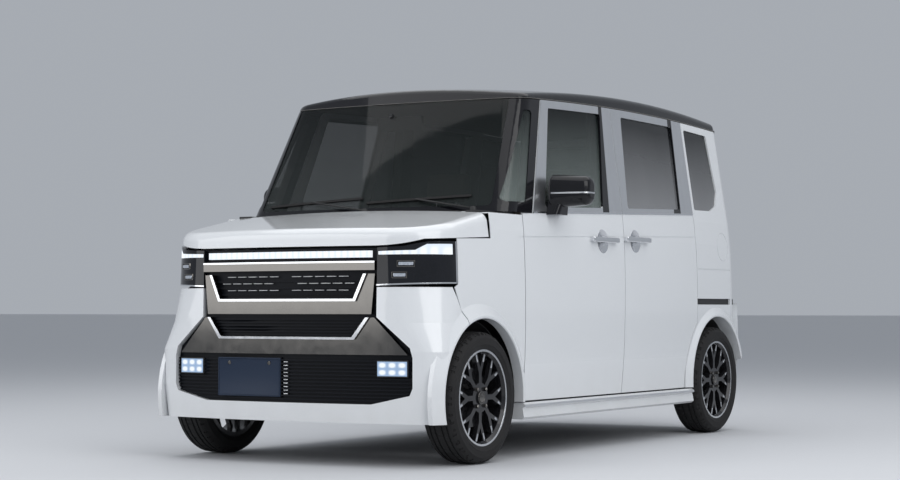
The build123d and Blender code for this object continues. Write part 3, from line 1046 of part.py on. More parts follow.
# Steering wheel: rim, boss, column and three spokes
STEER_X, STEER_Y, STEER_Z, STEER_TILT = -320.0, DOOR_FRONT_Y + 362.0, 960.0, 26.0
STEER_RADIUS = 176.0
COLUMN_RADIUS, COLUMN_END = 24.0, 130.0
steer_place = Location((STEER_X, STEER_Y, STEER_Z), (STEER_TILT - 90, 0, 0))
with BuildPart() as steering_wheel:
    with BuildSketch(Plane.XZ):
        with Locations((STEER_RADIUS, 0)):
            Circle(15)
    revolve(axis=Axis.Z)
    with Locations((0, 0, -20)):
        Cylinder(60, 46)
    with Locations((0, 0, -COLUMN_END)):
        Cylinder(COLUMN_RADIUS, COLUMN_END - 30, align=(Align.CENTER, Align.CENTER, Align.MIN))
    for turn in (90, 210, 330):
        with Locations(Location((0, 0, -8), (0, 0, turn))):
            Box(STEER_RADIUS - 6, 26, 14, align=(Align.MIN, Align.CENTER, Align.CENTER))
steering_wheel.part.label = "steering_wheel"
steering_wheel.part.locate(steer_place)

# Dashboard: one deep moulding between the front pillars, with the bore for the steering column
DASH_Y, DASH_Z, DASH_HALF = BULKHEAD_Y + BULKHEAD_THICK, FRAME_FOOT_Z - 52.0, FLOOR_HALF - 5.0
with BuildPart() as dashboard:
    with BuildSketch(Plane.YZ.offset(-DASH_HALF)) as section:
        with BuildLine():
            Polyline((DASH_Y, DASH_Z - 384), (DASH_Y + 140, DASH_Z - 334), (DASH_Y + 260, DASH_Z - 184),
                     (DASH_Y + 240, DASH_Z - 24), (DASH_Y + 140, DASH_Z), (DASH_Y, DASH_Z), close=True)
        make_face()
        fillet(section.vertices().group_by(Axis.Y)[-1] + section.vertices().group_by(Axis.Y)[-2], 30)
    extrude(amount=2 * DASH_HALF)
    with Locations(steer_place):
        Cylinder(COLUMN_RADIUS + HINGE_CLEARANCE, 2 * COLUMN_END + 10, mode=Mode.SUBTRACT)
dashboard.part.label = "dashboard"

# Seats: a padded cushion and a leaning back each, on low bases
SEAT_FLOOR_Z = FLOOR_Z + FLOOR_THICK
SEAT_TOP_Z, SEAT_BACK_Z = 690.0, 1180.0
FRONT_SEAT_Y, FRONT_SEAT_X, SEAT_WIDTH = MIDDLE_Y - 190.0, 305.0, 450.0
with BuildPart() as front_seats:
    for side in (-1, 1):
        x, y = side * FRONT_SEAT_X, FRONT_SEAT_Y
        with BuildSketch(Plane.YZ.offset(x - SEAT_WIDTH / 2)):
            with BuildLine():
                Polyline((y - 270, SEAT_FLOOR_Z), (y + 230, SEAT_FLOOR_Z), (y + 260, SEAT_TOP_Z - 50),
                         (y + 400, SEAT_BACK_Z - 10), (y + 300, SEAT_BACK_Z), (y + 150, SEAT_TOP_Z - 30),
                         (y - 250, SEAT_TOP_Z), (y - 290, SEAT_TOP_Z - 90), close=True)
            make_face()
        extrude(amount=SEAT_WIDTH)
        with Locations((x, y + 375, SEAT_BACK_Z + 100)):
            Box(260, 90, 170)
        for rod in (-60, 60):
            with Locations((x + rod, y + 365, SEAT_BACK_Z + 5)):
                Box(12, 12, 50)
front_seats.part.label = "front_seats"

REAR_SEAT_Y, BENCH_HALF = REAR_AXLE_Y - 870.0, 520.0
with BuildPart() as rear_seat:
    with BuildSketch(Plane.YZ.offset(-BENCH_HALF)):
        with BuildLine():
            y = REAR_SEAT_Y
            Polyline((y + 160, SEAT_FLOOR_Z), (y + 460, SEAT_FLOOR_Z), (y + 500, SEAT_TOP_Z - 50),
                     (y + 660, SEAT_BACK_Z), (y + 550, SEAT_BACK_Z + 10), (y + 400, SEAT_TOP_Z - 10),
                     (y + 20, SEAT_TOP_Z + 10), (y, SEAT_TOP_Z - 90), close=True)
        make_face()
    extrude(amount=2 * BENCH_HALF)
rear_seat.part.label = "rear_seat"

# Door mirrors: rounded housings that taper outwards, each on a foot at the belt
MIRROR_X, MIRROR_Y, MIRROR_Z = SIDE_X - 16.0, DOOR_FRONT_Y + 280.0, BELT_Z + 72.0
MIRROR_DEEP = 130.0
MIRROR_ROWS = (
    # distance out, fore and aft size, height, corner
    (0.0, MIRROR_DEEP, 155.0, 50.0),
    (190.0, 100.0, 130.0, 48.0),
)
MIRROR_FOOT_ROWS = (
    # height, width, fore and aft size
    (BELT_Z - 36.0, 80.0, 120.0),
    (BELT_Z + 25.0, 110.0, 86.0),
)
MIRROR_FOOT_CORNER = 26.0
with BuildPart() as mirror_left:
    for out, deep, tall, corner in MIRROR_ROWS:
        with BuildSketch(Plane.YZ.offset(MIRROR_X + out)):
            with Locations((MIRROR_Y + (MIRROR_DEEP - deep) / 2, MIRROR_Z)):
                RectangleRounded(deep, tall, corner)
    loft(ruled=True)
    fillet(mirror_left.faces().sort_by(Axis.X)[-1].edges(), 36)
    fillet(mirror_left.faces().sort_by(Axis.X)[0].edges(), 14)
    for z, wide, deep in MIRROR_FOOT_ROWS:
        with BuildSketch(Plane.XY.offset(z)):
            with Locations((MIRROR_X + 10, MIRROR_Y)):
                RectangleRounded(wide, deep, MIRROR_FOOT_CORNER)
    loft(ruled=True)
    add(side_wall(-FIT, WALL + CABIN_WALL), mode=Mode.SUBTRACT)
mirror_left.part.label = "mirror_left"

with BuildPart() as mirror_right:
    add(mirror(mirror_left.part, about=Plane.YZ))
mirror_right.part.label = "mirror_right"

# Handles: bars that stand off the doors on two feet
HANDLE_LENGTH, HANDLE_HEIGHT, HANDLE_THICK, HANDLE_STAND = 270.0, 26.0, 16.0, 12.0


def handle_bar(y):
    z = handle_z(y)
    skin_x = side_at(y, z)
    with BuildPart() as bar:
        with Locations((skin_x + HANDLE_STAND, y, z)):
            Box(HANDLE_THICK, HANDLE_LENGTH, HANDLE_HEIGHT, align=(Align.MIN, Align.CENTER, Align.CENTER))
        fillet(bar.edges(), 7)
        for end in (-1, 1):
            with Locations((skin_x - WALL / 2, y + end * (HANDLE_LENGTH / 2 - 18), z)):
                Box(WALL / 2 + HANDLE_STAND + 7, 24, 18, align=(Align.MIN, Align.CENTER, Align.CENTER))
        add(side_wall(-FIT, WALL + FIT), mode=Mode.SUBTRACT)
    return bar.part


with BuildPart() as handle_left:
    add(handle_bar(DOOR_HANDLE_Y))
handle_left.part.label = "handle_left"

with BuildPart() as handle_right:
    add(mirror(handle_left.part, about=Plane.YZ))
handle_right.part.label = "handle_right"

with BuildPart() as slider_handles:
    add(handle_bar(SLIDER_HANDLE_Y))
    mirror(about=Plane.YZ)
slider_handles.part.label = "slider_handles"

# Spoiler: a lip over the tailgate's glass that carries on the roof's fall, with the tailgate's hinge eyes
SPOILER_HALF, SPOILER_TIP_Y, SPOILER_Z = 540.0, REAR_Y - 7.5, HEIGHT - 80.0
SPOILER_FRONT_Y = GATE_PIN_Y + 14.0
with BuildPart() as spoiler:
    with BuildSketch(Plane.YZ.offset(-SPOILER_HALF)):
        with BuildLine():
            Polyline((SPOILER_FRONT_Y - 56, SPOILER_Z - 78), (SPOILER_FRONT_Y - 56, SPOILER_Z - 52),
                     (SPOILER_FRONT_Y - 6, SPOILER_Z - 52), (SPOILER_FRONT_Y, SPOILER_Z),
                     (SPOILER_TIP_Y, SPOILER_Z - 16), (SPOILER_TIP_Y, SPOILER_Z - 28),
                     (SPOILER_FRONT_Y + 4, SPOILER_Z - 78), close=True)
        make_face()
    extrude(amount=2 * SPOILER_HALF)
    add(tail_wall(-FIT, WALL + FIT), mode=Mode.SUBTRACT)
    for side in (-1, 1):
        for end in (-1, 1):
            eye_x = side * GATE_PIN_X + end * (GATE_LUG_HALF + 1 + GATE_EYE_IN / 2)
            with BuildSketch(Plane.YZ.offset(eye_x)):
                with BuildLine():
                    Polyline((GATE_PIN_Y, GATE_PIN_Z - GATE_EYE_RADIUS + 2),
                             (SPOILER_FRONT_Y + 4, SPOILER_Z - 8), (SPOILER_FRONT_Y + 24, SPOILER_Z - 8),
                             (GATE_PIN_Y + 8, GATE_PIN_Z + 5), close=True)
                make_face()
                with Locations((GATE_PIN_Y, GATE_PIN_Z)):
                    Circle(GATE_EYE_RADIUS)
                    Circle(GATE_PIN_RADIUS + HINGE_CLEARANCE, mode=Mode.SUBTRACT)
            extrude(amount=GATE_EYE_IN / 2, both=True)
spoiler.part.label = "spoiler"

# Tyre: a round-shouldered ring, turned about the wheel's axis
TYRE_HALF = TYRE_WIDTH / 2
TREAD_HALF = TYRE_HALF - 26.0
SEAT_RADIUS, BEAD_RADIUS, BEAD_HALF = 196.0, 206.4, 61.7
SIDEWALL_RADIUS, BULGE_RADIUS = 215.0, 242.0
SHOULDER_RADIUS, TREAD_EDGE_RADIUS = TYRE_RADIUS - 15.0, TYRE_RADIUS - 3.0
with BuildPart() as tyre_front_left:
    with BuildSketch(Plane.XZ):
        with BuildLine():
            for side in (-1, 1):
                Polyline((side * BEAD_HALF, SEAT_RADIUS), (side * BEAD_HALF, BEAD_RADIUS),
                         (side * (TYRE_HALF - 6), BEAD_RADIUS), (side * (TYRE_HALF - 4), SIDEWALL_RADIUS))
                ThreePointArc((side * (TYRE_HALF - 4), SIDEWALL_RADIUS), (side * TYRE_HALF, BULGE_RADIUS),
                              (side * (TYRE_HALF - 10), SHOULDER_RADIUS))
                ThreePointArc((side * (TYRE_HALF - 10), SHOULDER_RADIUS),
                              (side * (TYRE_HALF - 16), TYRE_RADIUS - 7),
                              (side * TREAD_HALF, TREAD_EDGE_RADIUS))
            ThreePointArc((-TREAD_HALF, TREAD_EDGE_RADIUS), (0, TYRE_RADIUS), (TREAD_HALF, TREAD_EDGE_RADIUS))
            Line((-BEAD_HALF, SEAT_RADIUS), (BEAD_HALF, SEAT_RADIUS))
        make_face()
    revolve(axis=Axis.X)

# Rim: a barrel, a dished hub and eight stems that fork to sixteen spoke ends
RIM_HALF, RIM_INNER_RADIUS = 70.0, 186.0
WELL_HALF, FLANGE_RADIUS = BEAD_HALF + FIT, SEAT_RADIUS + 9.0
SPOKES, SPOKE_X, SPOKE_THICK = 8, 36.0, 20.0
HUB_RADIUS, CAP_RADIUS, DISC_RADIUS = 64.0, 29.0, 125.0
STEM_HALF, FORK_RADIUS, CROTCH_RADIUS = 11.0, 104.0, 128.0
TIP_RADIUS, TIP_TURN, TIP_HALF = RIM_INNER_RADIUS + 3.0, radians(11.25), radians(2.3)


def on_rim(radius, turn):
    return (radius * sin(turn), radius * cos(turn))


with BuildPart() as rim_front_left:
    with BuildSketch(Plane.XZ):
        with BuildLine():
            Polyline((-RIM_HALF, FLANGE_RADIUS), (-WELL_HALF, FLANGE_RADIUS), (-WELL_HALF, SEAT_RADIUS - FIT),
                     (WELL_HALF, SEAT_RADIUS - FIT), (WELL_HALF, BEAD_RADIUS - FIT),
                     (RIM_HALF, BEAD_RADIUS - FIT), (RIM_HALF, SEAT_RADIUS),
                     (RIM_HALF - 14, RIM_INNER_RADIUS), (-RIM_HALF, RIM_INNER_RADIUS), close=True)
        make_face()
    revolve(axis=Axis.X)
    for index in range(SPOKES):
        with BuildSketch(Plane.YZ.offset(SPOKE_X)):
            with Locations(Location((0, 0, 0), (0, 0, 360 / SPOKES * index))):
                half = [(STEM_HALF, HUB_RADIUS - 8), (STEM_HALF, FORK_RADIUS),
                        on_rim(TIP_RADIUS, TIP_TURN + TIP_HALF), on_rim(TIP_RADIUS, TIP_TURN - TIP_HALF),
                        (0, CROTCH_RADIUS)]
                Polygon(*(half + [(-y, z) for y, z in half[-2::-1]]), align=None)
        extrude(amount=SPOKE_THICK)
    with Locations(Location((SPOKE_X - 2, 0, 0), (0, 90, 0))):
        Cylinder(HUB_RADIUS, 44)
    with Locations(Location((SPOKE_X + 22, 0, 0), (0, 90, 0))):
        Cylinder(CAP_RADIUS, 8)
    with Locations(Location((2, 0, 0), (0, 90, 0))):
        Cylinder(DISC_RADIUS, 24)

# Front knuckles: carriers with their struts, turning about a leaning king pin
CARRIER_FOOT_Z = 225.0
with BuildPart() as knuckle_left:
    with Locations((king_x(WHEEL_Z), FRONT_AXLE_Y, CARRIER_FOOT_Z)):
        Box(70, 90, 140, align=(Align.CENTER, Align.CENTER, Align.MIN))
    with Locations(Location((WHEEL_X - 36.5, FRONT_AXLE_Y, WHEEL_Z), (0, 90, 0))):
        Cylinder(50, 52)
    with Locations(Location((king_x(470.0), FRONT_AXLE_Y, 470.0), (0, KING_TILT, 0))):
        Cylinder(22, 250)
    with Locations((king_x(WHEEL_Z) + 10, FRONT_AXLE_Y + 105, WHEEL_Z)):
        Box(56, 120, 36)
    with Locations(Location((king_x(BOSS_Z + 22), FRONT_AXLE_Y, BOSS_Z + 22), (0, KING_TILT, 0))):
        Cylinder(STUD_RADIUS, 76)
knuckle_left.part.label = "knuckle_left"

with BuildPart() as knuckle_right:
    add(mirror(knuckle_left.part, about=Plane.YZ))
knuckle_right.part.label = "knuckle_right"

wheel_places = {
    "front_left": Location((WHEEL_X, FRONT_AXLE_Y, WHEEL_Z)),
    "front_right": Location((-WHEEL_X, FRONT_AXLE_Y, WHEEL_Z), (0, 0, 180)),
    "rear_left": Location((WHEEL_X, REAR_AXLE_Y, WHEEL_Z)),
    "rear_right": Location((-WHEEL_X, REAR_AXLE_Y, WHEEL_Z), (0, 0, 180)),
}
for place, location in wheel_places.items():
    for kind, piece in (("tyre", tyre_front_left), ("rim", rim_front_left)):
        with BuildPart() as wheel_piece:
            add(piece.part.moved(location))
        wheel_piece.part.label = f"{kind}_{place}"
        export_step(wheel_piece.part, f"parts/{kind}_{place}.step")

for piece in (roof_panel, front_pillars, windscreen, front_quarter_glass, fenders, hood, cowl,
              door_front_left, door_front_right, glass_front_left, glass_front_right, door_hinges,
              sliding_doors, rear_quarters, tail_lamps, privacy_glass, tailgate, tailgate_glass,
              rear_bumper, front_bumper, headlamps,
              lamp_guides, grille, grille_chrome, light_bar, fog_lamps, floor_pan, pillars, side_sills,
              wheel_liners, engine, front_subframe, rear_axle, exhaust, fuel_tank, dashboard, front_seats,
              rear_seat, steering_wheel, mirror_left, mirror_right, handle_left, handle_right, slider_handles,
              spoiler, knuckle_left, knuckle_right):
    export_step(piece.part, f"parts/{piece.part.label}.step")
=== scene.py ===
"""Kei car dressed for the studio: finishes, trim, lamps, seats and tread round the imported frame, in metres."""
import math
import bpy
from mathutils import Matrix, Vector


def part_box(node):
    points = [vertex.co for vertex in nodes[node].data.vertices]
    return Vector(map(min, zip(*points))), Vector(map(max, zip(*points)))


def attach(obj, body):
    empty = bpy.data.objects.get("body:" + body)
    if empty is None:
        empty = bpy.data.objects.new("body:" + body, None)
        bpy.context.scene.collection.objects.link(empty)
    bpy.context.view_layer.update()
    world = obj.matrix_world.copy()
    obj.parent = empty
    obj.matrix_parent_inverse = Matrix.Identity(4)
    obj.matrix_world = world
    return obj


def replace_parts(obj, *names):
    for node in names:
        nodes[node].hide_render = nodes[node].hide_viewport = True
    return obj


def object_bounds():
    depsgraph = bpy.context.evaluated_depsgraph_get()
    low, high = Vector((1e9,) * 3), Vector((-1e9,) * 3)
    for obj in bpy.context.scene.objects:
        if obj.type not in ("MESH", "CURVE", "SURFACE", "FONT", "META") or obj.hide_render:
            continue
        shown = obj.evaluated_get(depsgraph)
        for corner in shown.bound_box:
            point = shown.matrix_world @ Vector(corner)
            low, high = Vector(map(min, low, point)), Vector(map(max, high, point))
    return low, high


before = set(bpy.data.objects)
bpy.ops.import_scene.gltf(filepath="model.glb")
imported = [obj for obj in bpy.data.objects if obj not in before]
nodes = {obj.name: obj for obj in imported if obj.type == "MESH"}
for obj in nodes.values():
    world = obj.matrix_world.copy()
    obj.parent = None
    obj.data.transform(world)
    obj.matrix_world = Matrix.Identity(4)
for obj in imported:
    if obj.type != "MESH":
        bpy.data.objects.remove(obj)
cad_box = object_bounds()


# Painted shell: pressed steel doors, hood and fenders with moulded bumpers, all in one pearl white.
# Mica flakes lie under a clear coat, and road dust gathers low on the flanks.
class Shade:
    """A material's node tree, with sockets that add up like numbers."""

    class Value:
        def __init__(self, tree, socket):
            self.tree = tree
            self.socket = socket

        def __add__(self, other):
            return self.tree.maths("ADD", self, other)

        def __radd__(self, other):
            return self.tree.maths("ADD", other, self)

        def __sub__(self, other):
            return self.tree.maths("SUBTRACT", self, other)

        def __rsub__(self, other):
            return self.tree.maths("SUBTRACT", other, self)

        def __mul__(self, other):
            return self.tree.maths("MULTIPLY", self, other)

        def __rmul__(self, other):
            return self.tree.maths("MULTIPLY", other, self)

    def __init__(self, name):
        self.material = bpy.data.materials.new(name)
        self.material.use_nodes = True
        self.nodes = self.material.node_tree.nodes
        self.links = self.material.node_tree.links
        self.shader = self.nodes["Principled BSDF"]

    def put(self, socket, value):
        if isinstance(value, Shade.Value):
            self.links.new(value.socket, socket)
        else:
            socket.default_value = value

    def node(self, kind, settings, sockets, output=0):
        made = self.nodes.new(kind)
        for name, value in settings.items():
            setattr(made, name, value)
        for name, value in sockets.items():
            self.put(made.inputs[name], value)
        return Shade.Value(self, made.outputs[output])

    def maths(self, operation, *values):
        return self.node("ShaderNodeMath", {"operation": operation}, dict(enumerate(values)))

    def finish(self, **sockets):
        for name, value in sockets.items():
            self.put(self.shader.inputs[name.replace("_", " ")], value)
        return self.material


def place_on(shade):
    return shade.node("ShaderNodeTexCoord", {}, {}, "Object")


def along(shade, axis):
    """One of the piece's own coordinates."""
    return shade.node("ShaderNodeSeparateXYZ", {}, {"Vector": place_on(shade)}, axis)


def grain(shade, scale, detail=2.0, stretch=(1.0, 1.0, 1.0)):
    """Noise that may be drawn out along an axis."""
    stretched = shade.node("ShaderNodeMapping", {}, {"Vector": place_on(shade), "Scale": stretch})
    return shade.node("ShaderNodeTexNoise", {}, {"Vector": stretched, "Scale": scale, "Detail": detail})


def ramp(shade, value, start, end, most=1.0):
    """Climbs from nothing at start to most at end."""
    return shade.node("ShaderNodeMapRange", {"clamp": True},
                      {"Value": value, "From Min": start, "From Max": end, "To Min": 0.0, "To Max": most})


def two_tone(shade, mask, low, high):
    """Blends two tones, each a colour of three parts or another blend."""
    low, high = (tone if isinstance(tone, Shade.Value) else (*tone, 1.0) for tone in (low, high))
    return shade.node("ShaderNodeMix", {"data_type": "RGBA"}, {0: mask, 6: low, 7: high}, 2)


def relief(shade, rise, strength, distance):
    return shade.node("ShaderNodeBump", {}, {"Height": rise, "Strength": strength, "Distance": distance})


DUST_HEAD, DUST_FOOT, DUST_MOST = 0.42, 0.17, 0.34
shade = Shade("pearl_white")
flake = ramp(shade, grain(shade, 1400.0), 0.45, 0.7)
dust = ramp(shade, along(shade, "Z"), DUST_HEAD, DUST_FOOT, DUST_MOST) * grain(shade, 9.0, 5.0)
pearl = two_tone(shade, flake, (0.72, 0.74, 0.76), (0.79, 0.80, 0.81))
pearl_white = shade.finish(
    Base_Color=two_tone(shade, dust, pearl, (0.42, 0.40, 0.37)),
    Roughness=0.27 + 0.06 * flake + 0.8 * dust, Coat_Weight=1.0, Coat_Roughness=0.03,
    Normal=relief(shade, grain(shade, 90.0), 0.03, 0.001))


def paint(material, *names):
    """Gives whole nodes their finish."""
    for name in names:
        slots = nodes[name].data.materials
        slots.clear()
        slots.append(material)


paint(pearl_white, "fenders", "hood", "door_front_left", "door_front_right", "sliding_doors", "rear_quarters",
      "tailgate", "rear_bumper", "front_bumper", "side_sills")

# Roof, front pillars, mirrors and tail wing: the same steel and plastic in gloss black.
# Polishing leaves faint swirls that only the roughness shows.
shade = Shade("gloss_black")
swirl = grain(shade, 14.0, 6.0)
fleck = ramp(shade, grain(shade, 1600.0), 0.6, 0.75)
gloss_black = shade.finish(
    Base_Color=two_tone(shade, fleck, (0.006, 0.006, 0.008), (0.02, 0.021, 0.024)),
    Roughness=0.08 + 0.12 * swirl, Specular_IOR_Level=0.1, Coat_Weight=0.5, Coat_Roughness=0.02,
    Normal=relief(shade, grain(shade, 80.0), 0.02, 0.001))
paint(gloss_black, "roof_panel", "front_pillars", "mirror_left", "mirror_right", "spoiler")

# Underbody, wheel houses, cowl and grille: black moulded plastic and stone-chip coating.
# A fine leather-like grain breaks up the shine, and the grille's slats are finer and deeper black.
shade = Shade("moulded_black")
pebble = grain(shade, 620.0, 3.0)
moulded_black = shade.finish(
    Base_Color=two_tone(shade, grain(shade, 5.0, 4.0), (0.011, 0.011, 0.012), (0.024, 0.024, 0.025)),
    Roughness=0.45 + 0.2 * pebble, Normal=relief(shade, pebble, 0.25, 0.0006))
shade = Shade("intake_black")
speckle = grain(shade, 500.0, 3.0)
intake_black = shade.finish(
    Base_Color=two_tone(shade, speckle, (0.003, 0.004, 0.006), (0.007, 0.008, 0.012)),
    Roughness=0.30 + 0.15 * speckle, Specular_IOR_Level=0.12, Normal=relief(shade, speckle, 0.15, 0.0004))
paint(moulded_black, "cowl", "wheel_liners", "floor_pan", "pillars", "fuel_tank")
paint(intake_black, "grille")

# Running gear: cast and welded steel under thin black paint, dusty and a little rusty at the edges.
# The engine is cast alloy, and the silencer is bare aluminised sheet.
shade = Shade("chassis_steel")
rust = ramp(shade, grain(shade, 26.0, 8.0), 0.56, 0.72, 0.7)
chassis_steel = shade.finish(
    Base_Color=two_tone(shade, rust, (0.035, 0.035, 0.037), (0.13, 0.07, 0.04)),
    Metallic=0.8 - 0.6 * rust, Roughness=0.45 + 0.3 * rust,
    Normal=relief(shade, grain(shade, 240.0, 4.0), 0.2, 0.001))
shade = Shade("cast_alloy")
sand = grain(shade, 420.0, 4.0)
cast_alloy = shade.finish(
    Base_Color=two_tone(shade, sand, (0.30, 0.31, 0.32), (0.42, 0.42, 0.43)),
    Metallic=0.9, Roughness=0.38 + 0.2 * sand, Normal=relief(shade, sand, 0.2, 0.0006))
paint(chassis_steel, "front_subframe", "rear_axle", "door_hinges", "knuckle_left", "knuckle_right")
paint(cast_alloy, "engine", "exhaust")

# Glass: a laminated screen and clear tempered front panes, with dark privacy glass behind.
# Each glass is painted lighter at the belt as a painted reflection and darkens towards the roof, and a wiped
# film leaves soft bands in the shine and in that painted reflection.
PAINTED_REFLECTION_FOOT, PAINTED_REFLECTION_HEAD = 1.12, 1.62


def glass(name, low, high, clear):
    shade = Shade(name)
    film = grain(shade, 3.0, 3.0, (1.0, 1.0, 0.3))
    # Painted reflection: the colour runs from the lighter tone at the belt to the dark tone under the roof
    height = ramp(shade, along(shade, "Z") + 0.1 * film, PAINTED_REFLECTION_FOOT, PAINTED_REFLECTION_HEAD)
    return shade.finish(Base_Color=two_tone(shade, height, low, high), Roughness=0.01 + 0.05 * film,
                        Alpha=clear, Specular_IOR_Level=0.3, Coat_Weight=0.15)


# Each glass: its tone at the belt, made lighter as a painted reflection, its tone under the roof, and how clear
# it is
screen_glass = glass("screen_glass", (0.026, 0.032, 0.031), (0.004, 0.006, 0.006), 0.50)
clear_glass = glass("clear_glass", (0.24, 0.28, 0.265), (0.008, 0.012, 0.012), 0.45)
dark_glass = glass("dark_glass", (0.27, 0.275, 0.285), (0.006, 0.007, 0.008), 0.90)
paint(screen_glass, "windscreen")
paint(clear_glass, "front_quarter_glass", "glass_front_left", "glass_front_right")
paint(dark_glass, "privacy_glass", "tailgate_glass")


# Bright work: plated plastic for the handles and lips, smoked plating for the cups, satin foil on the pillars.
# The plating is smooth, with faint wipe marks.
def plating(name, colour, least, swing, stretch=(1.0, 1.0, 1.0)):
    shade = Shade(name)
    wipe = grain(shade, 22.0, 5.0, stretch)
    dulled = [0.9 * part for part in colour]
    return shade.finish(Base_Color=two_tone(shade, wipe, dulled, colour), Metallic=1.0,
                        Roughness=least + swing * wipe)


chrome = plating("chrome", (0.80, 0.81, 0.83), 0.06, 0.10)
dark_chrome = plating("dark_chrome", (0.18, 0.172, 0.162), 0.07, 0.10)
satin_silver = plating("satin_silver", (0.74, 0.75, 0.77), 0.24, 0.16, (1.0, 1.0, 0.06))
paint(dark_chrome, "grille_chrome")
paint(chrome, "handle_left", "handle_right", "slider_handles")

# Pillar garnish: satin foil strips over the door frames, with gloss-black channels beside the glass
# and a bright moulding at the belt. Each is thin, follows the door's own skin and is taped to it.
FOIL_THICK, STRIP_THICK, BELT_THICK = 0.0012, 0.0018, 0.003
BELT_LOW, BELT_HIGH, BELT_RISE = 1.113, 1.121, 0.036
# Least part of a normal that counts as facing a way, and the edges in degrees that are shaded smooth
FACING = 0.6
CREASE, SKIN_CREASE = 35.0, 30.0
WELD = 0.00001


def behind(low, high):
    """A cut through a line in the side view that keeps what lies behind it."""
    return (0.0, *low), (0.0, high[1] - low[1], low[0] - high[0])


def ahead(low, high):
    point, (x, y, z) = behind(low, high)
    return point, (x, -y, -z)


def above(z, rise=0.0):
    """A cut at a height, which may rise towards the back, that keeps what lies above it."""
    return (0.0, 0.0, z), (0.0, -rise, 1.0)


def below(z, rise=0.0):
    return (0.0, 0.0, z), (0.0, rise, -1.0)


def band(low, high, rise=0.0):
    return [above(low, rise), below(high, rise)]


def facing(axis, way, least=FACING):
    """A test for faces that turn towards one way of an axis."""
    return lambda normal, centre: way * getattr(normal, axis) > least


def outer_side(normal, centre):
    return normal.x * math.copysign(1.0, centre.x) > FACING


facing_front = facing("y", -1.0, 0.35)


def outer_or_front(normal, centre):
    return outer_side(normal, centre) or facing_front(normal, centre)


def only(obj):
    """Leaves one object selected and active."""
    bpy.ops.object.select_all(action="DESELECT")
    obj.select_set(True)
    bpy.context.view_layer.objects.active = obj


def fit(obj, name, body, material, crease=CREASE):
    """Gives a finished piece its name, finish and body, with its place in its mesh."""
    obj.name = name
    obj.data.name = name
    obj.data.materials.clear()
    obj.data.materials.append(material)
    only(obj)
    bpy.ops.object.transform_apply(location=True, rotation=True, scale=True)
    bpy.ops.object.shade_smooth_by_angle(angle=math.radians(crease))
    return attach(obj, body)


def modify(obj, kind, **settings):
    """Adds a modifier and applies it."""
    only(obj)
    modifier = obj.modifiers.new(kind.lower(), kind)
    for name, value in settings.items():
        setattr(modifier, name, value)
    bpy.ops.object.modifier_apply(modifier=modifier.name)


def choose_faces(obj, wanted):
    """Goes into edit mode with only the wanted faces selected."""
    bpy.ops.object.mode_set(mode="EDIT")
    bpy.ops.mesh.select_mode(type="FACE")
    bpy.ops.mesh.select_all(action="DESELECT")
    bpy.ops.object.mode_set(mode="OBJECT")
    for face in obj.data.polygons:
        face.select = wanted(face)
    bpy.ops.object.mode_set(mode="EDIT")


def skin_piece(name, node, body, material, cuts, keep, thick=FOIL_THICK):
    """A thin moulding: a panel's own skin, cut to shape with planes and thickened outwards."""
    obj = bpy.data.objects.new(name, nodes[node].data.copy())
    bpy.context.collection.objects.link(obj)
    only(obj)
    bpy.ops.object.mode_set(mode="EDIT")
    bpy.ops.mesh.select_all(action="SELECT")
    bpy.ops.mesh.customdata_custom_splitnormals_clear()
    bpy.ops.mesh.remove_doubles(threshold=WELD)
    for point, normal in cuts:
        bpy.ops.mesh.select_all(action="SELECT")
        bpy.ops.mesh.bisect(plane_co=point, plane_no=normal, clear_inner=True)
    choose_faces(obj, lambda face: not keep(face.normal, face.center))
    bpy.ops.mesh.delete(type="FACE")
    bpy.ops.mesh.select_all(action="SELECT")
    bpy.ops.mesh.delete_loose()
    bpy.ops.object.mode_set(mode="OBJECT")
    modify(obj, "SOLIDIFY", thickness=thick, offset=1.0, use_even_offset=True)
    return fit(obj, name, body, material, SKIN_CREASE)


# Each channel lies between two slanted lines, given by their low and high ends along and up
DOOR_CHANNEL = behind((-0.062, 1.124), (0.035, 1.618)), ahead((0.003, 1.124), (0.068, 1.618))
SLIDER_CHANNEL = behind((0.781, 1.160), (0.855, 1.620)), ahead((0.866, 1.160), (0.902, 1.620))
DOORS = (
    # node, body, channel
    ("door_front_left", "front_door_left", DOOR_CHANNEL),
    ("door_front_right", "front_door_right", DOOR_CHANNEL),
    ("sliding_doors", "body", SLIDER_CHANNEL),
)
glass_foot = above(BELT_HIGH, BELT_RISE)
belt = band(BELT_LOW, BELT_HIGH, BELT_RISE)
for door, body, channel in DOORS:
    skin_piece("garnish_" + door, door, body, satin_silver, [glass_foot], outer_side)
    skin_piece("strip_" + door, door, body, gloss_black, [*channel, glass_foot], outer_or_front, STRIP_THICK)
    skin_piece("belt_" + door, door, body, chrome, belt, outer_side, BELT_THICK)

# Handle cups: plated bowls pressed into each door's hollow, behind the pull handles.
# The hollow is part of a ball, and the plating covers all of it.
CUP_BALL, CUP_BALL_X, CUP_REACH, CUP_THICK = 0.1199, 0.8235, 0.080, 0.0008
HANDLE_LINE, HANDLE_RISE = 0.989, 0.031
HANDLE_PLACES = (-0.092, -0.092, 0.270)


def in_cup(middle):
    """A test for faces that lie on the ball that hollows the skin."""
    def lies_in(normal, centre):
        place = Vector((abs(centre.x), centre.y, centre.z)) - middle
        return outer_side(normal, centre) and place.length < CUP_BALL and place.yz.length < CUP_REACH
    return lies_in


for (door, body, channel), y in zip(DOORS, HANDLE_PLACES):
    middle = Vector((CUP_BALL_X, y, HANDLE_LINE + HANDLE_RISE * y))
    skin_piece("handle_cups_" + door, door, body, chrome, [], in_cup(middle), CUP_THICK)

# Sill strips and door rails: a bright foil along the skirt's ledge, and the black track that each
# sliding door runs on, let into the rear quarter.
SKIN_X, SKIN_BOW, WIDEST_Y = 0.728, 60.0, 0.150
RAIL_LOW, RAIL_HIGH, RAIL_END, RAIL_DEPTH, RAIL_THICK = 0.682, 0.712, 1.596, 0.008, 0.003
LEDGE_FOOT, LEDGE_HEAD = 0.0185, 0.0075


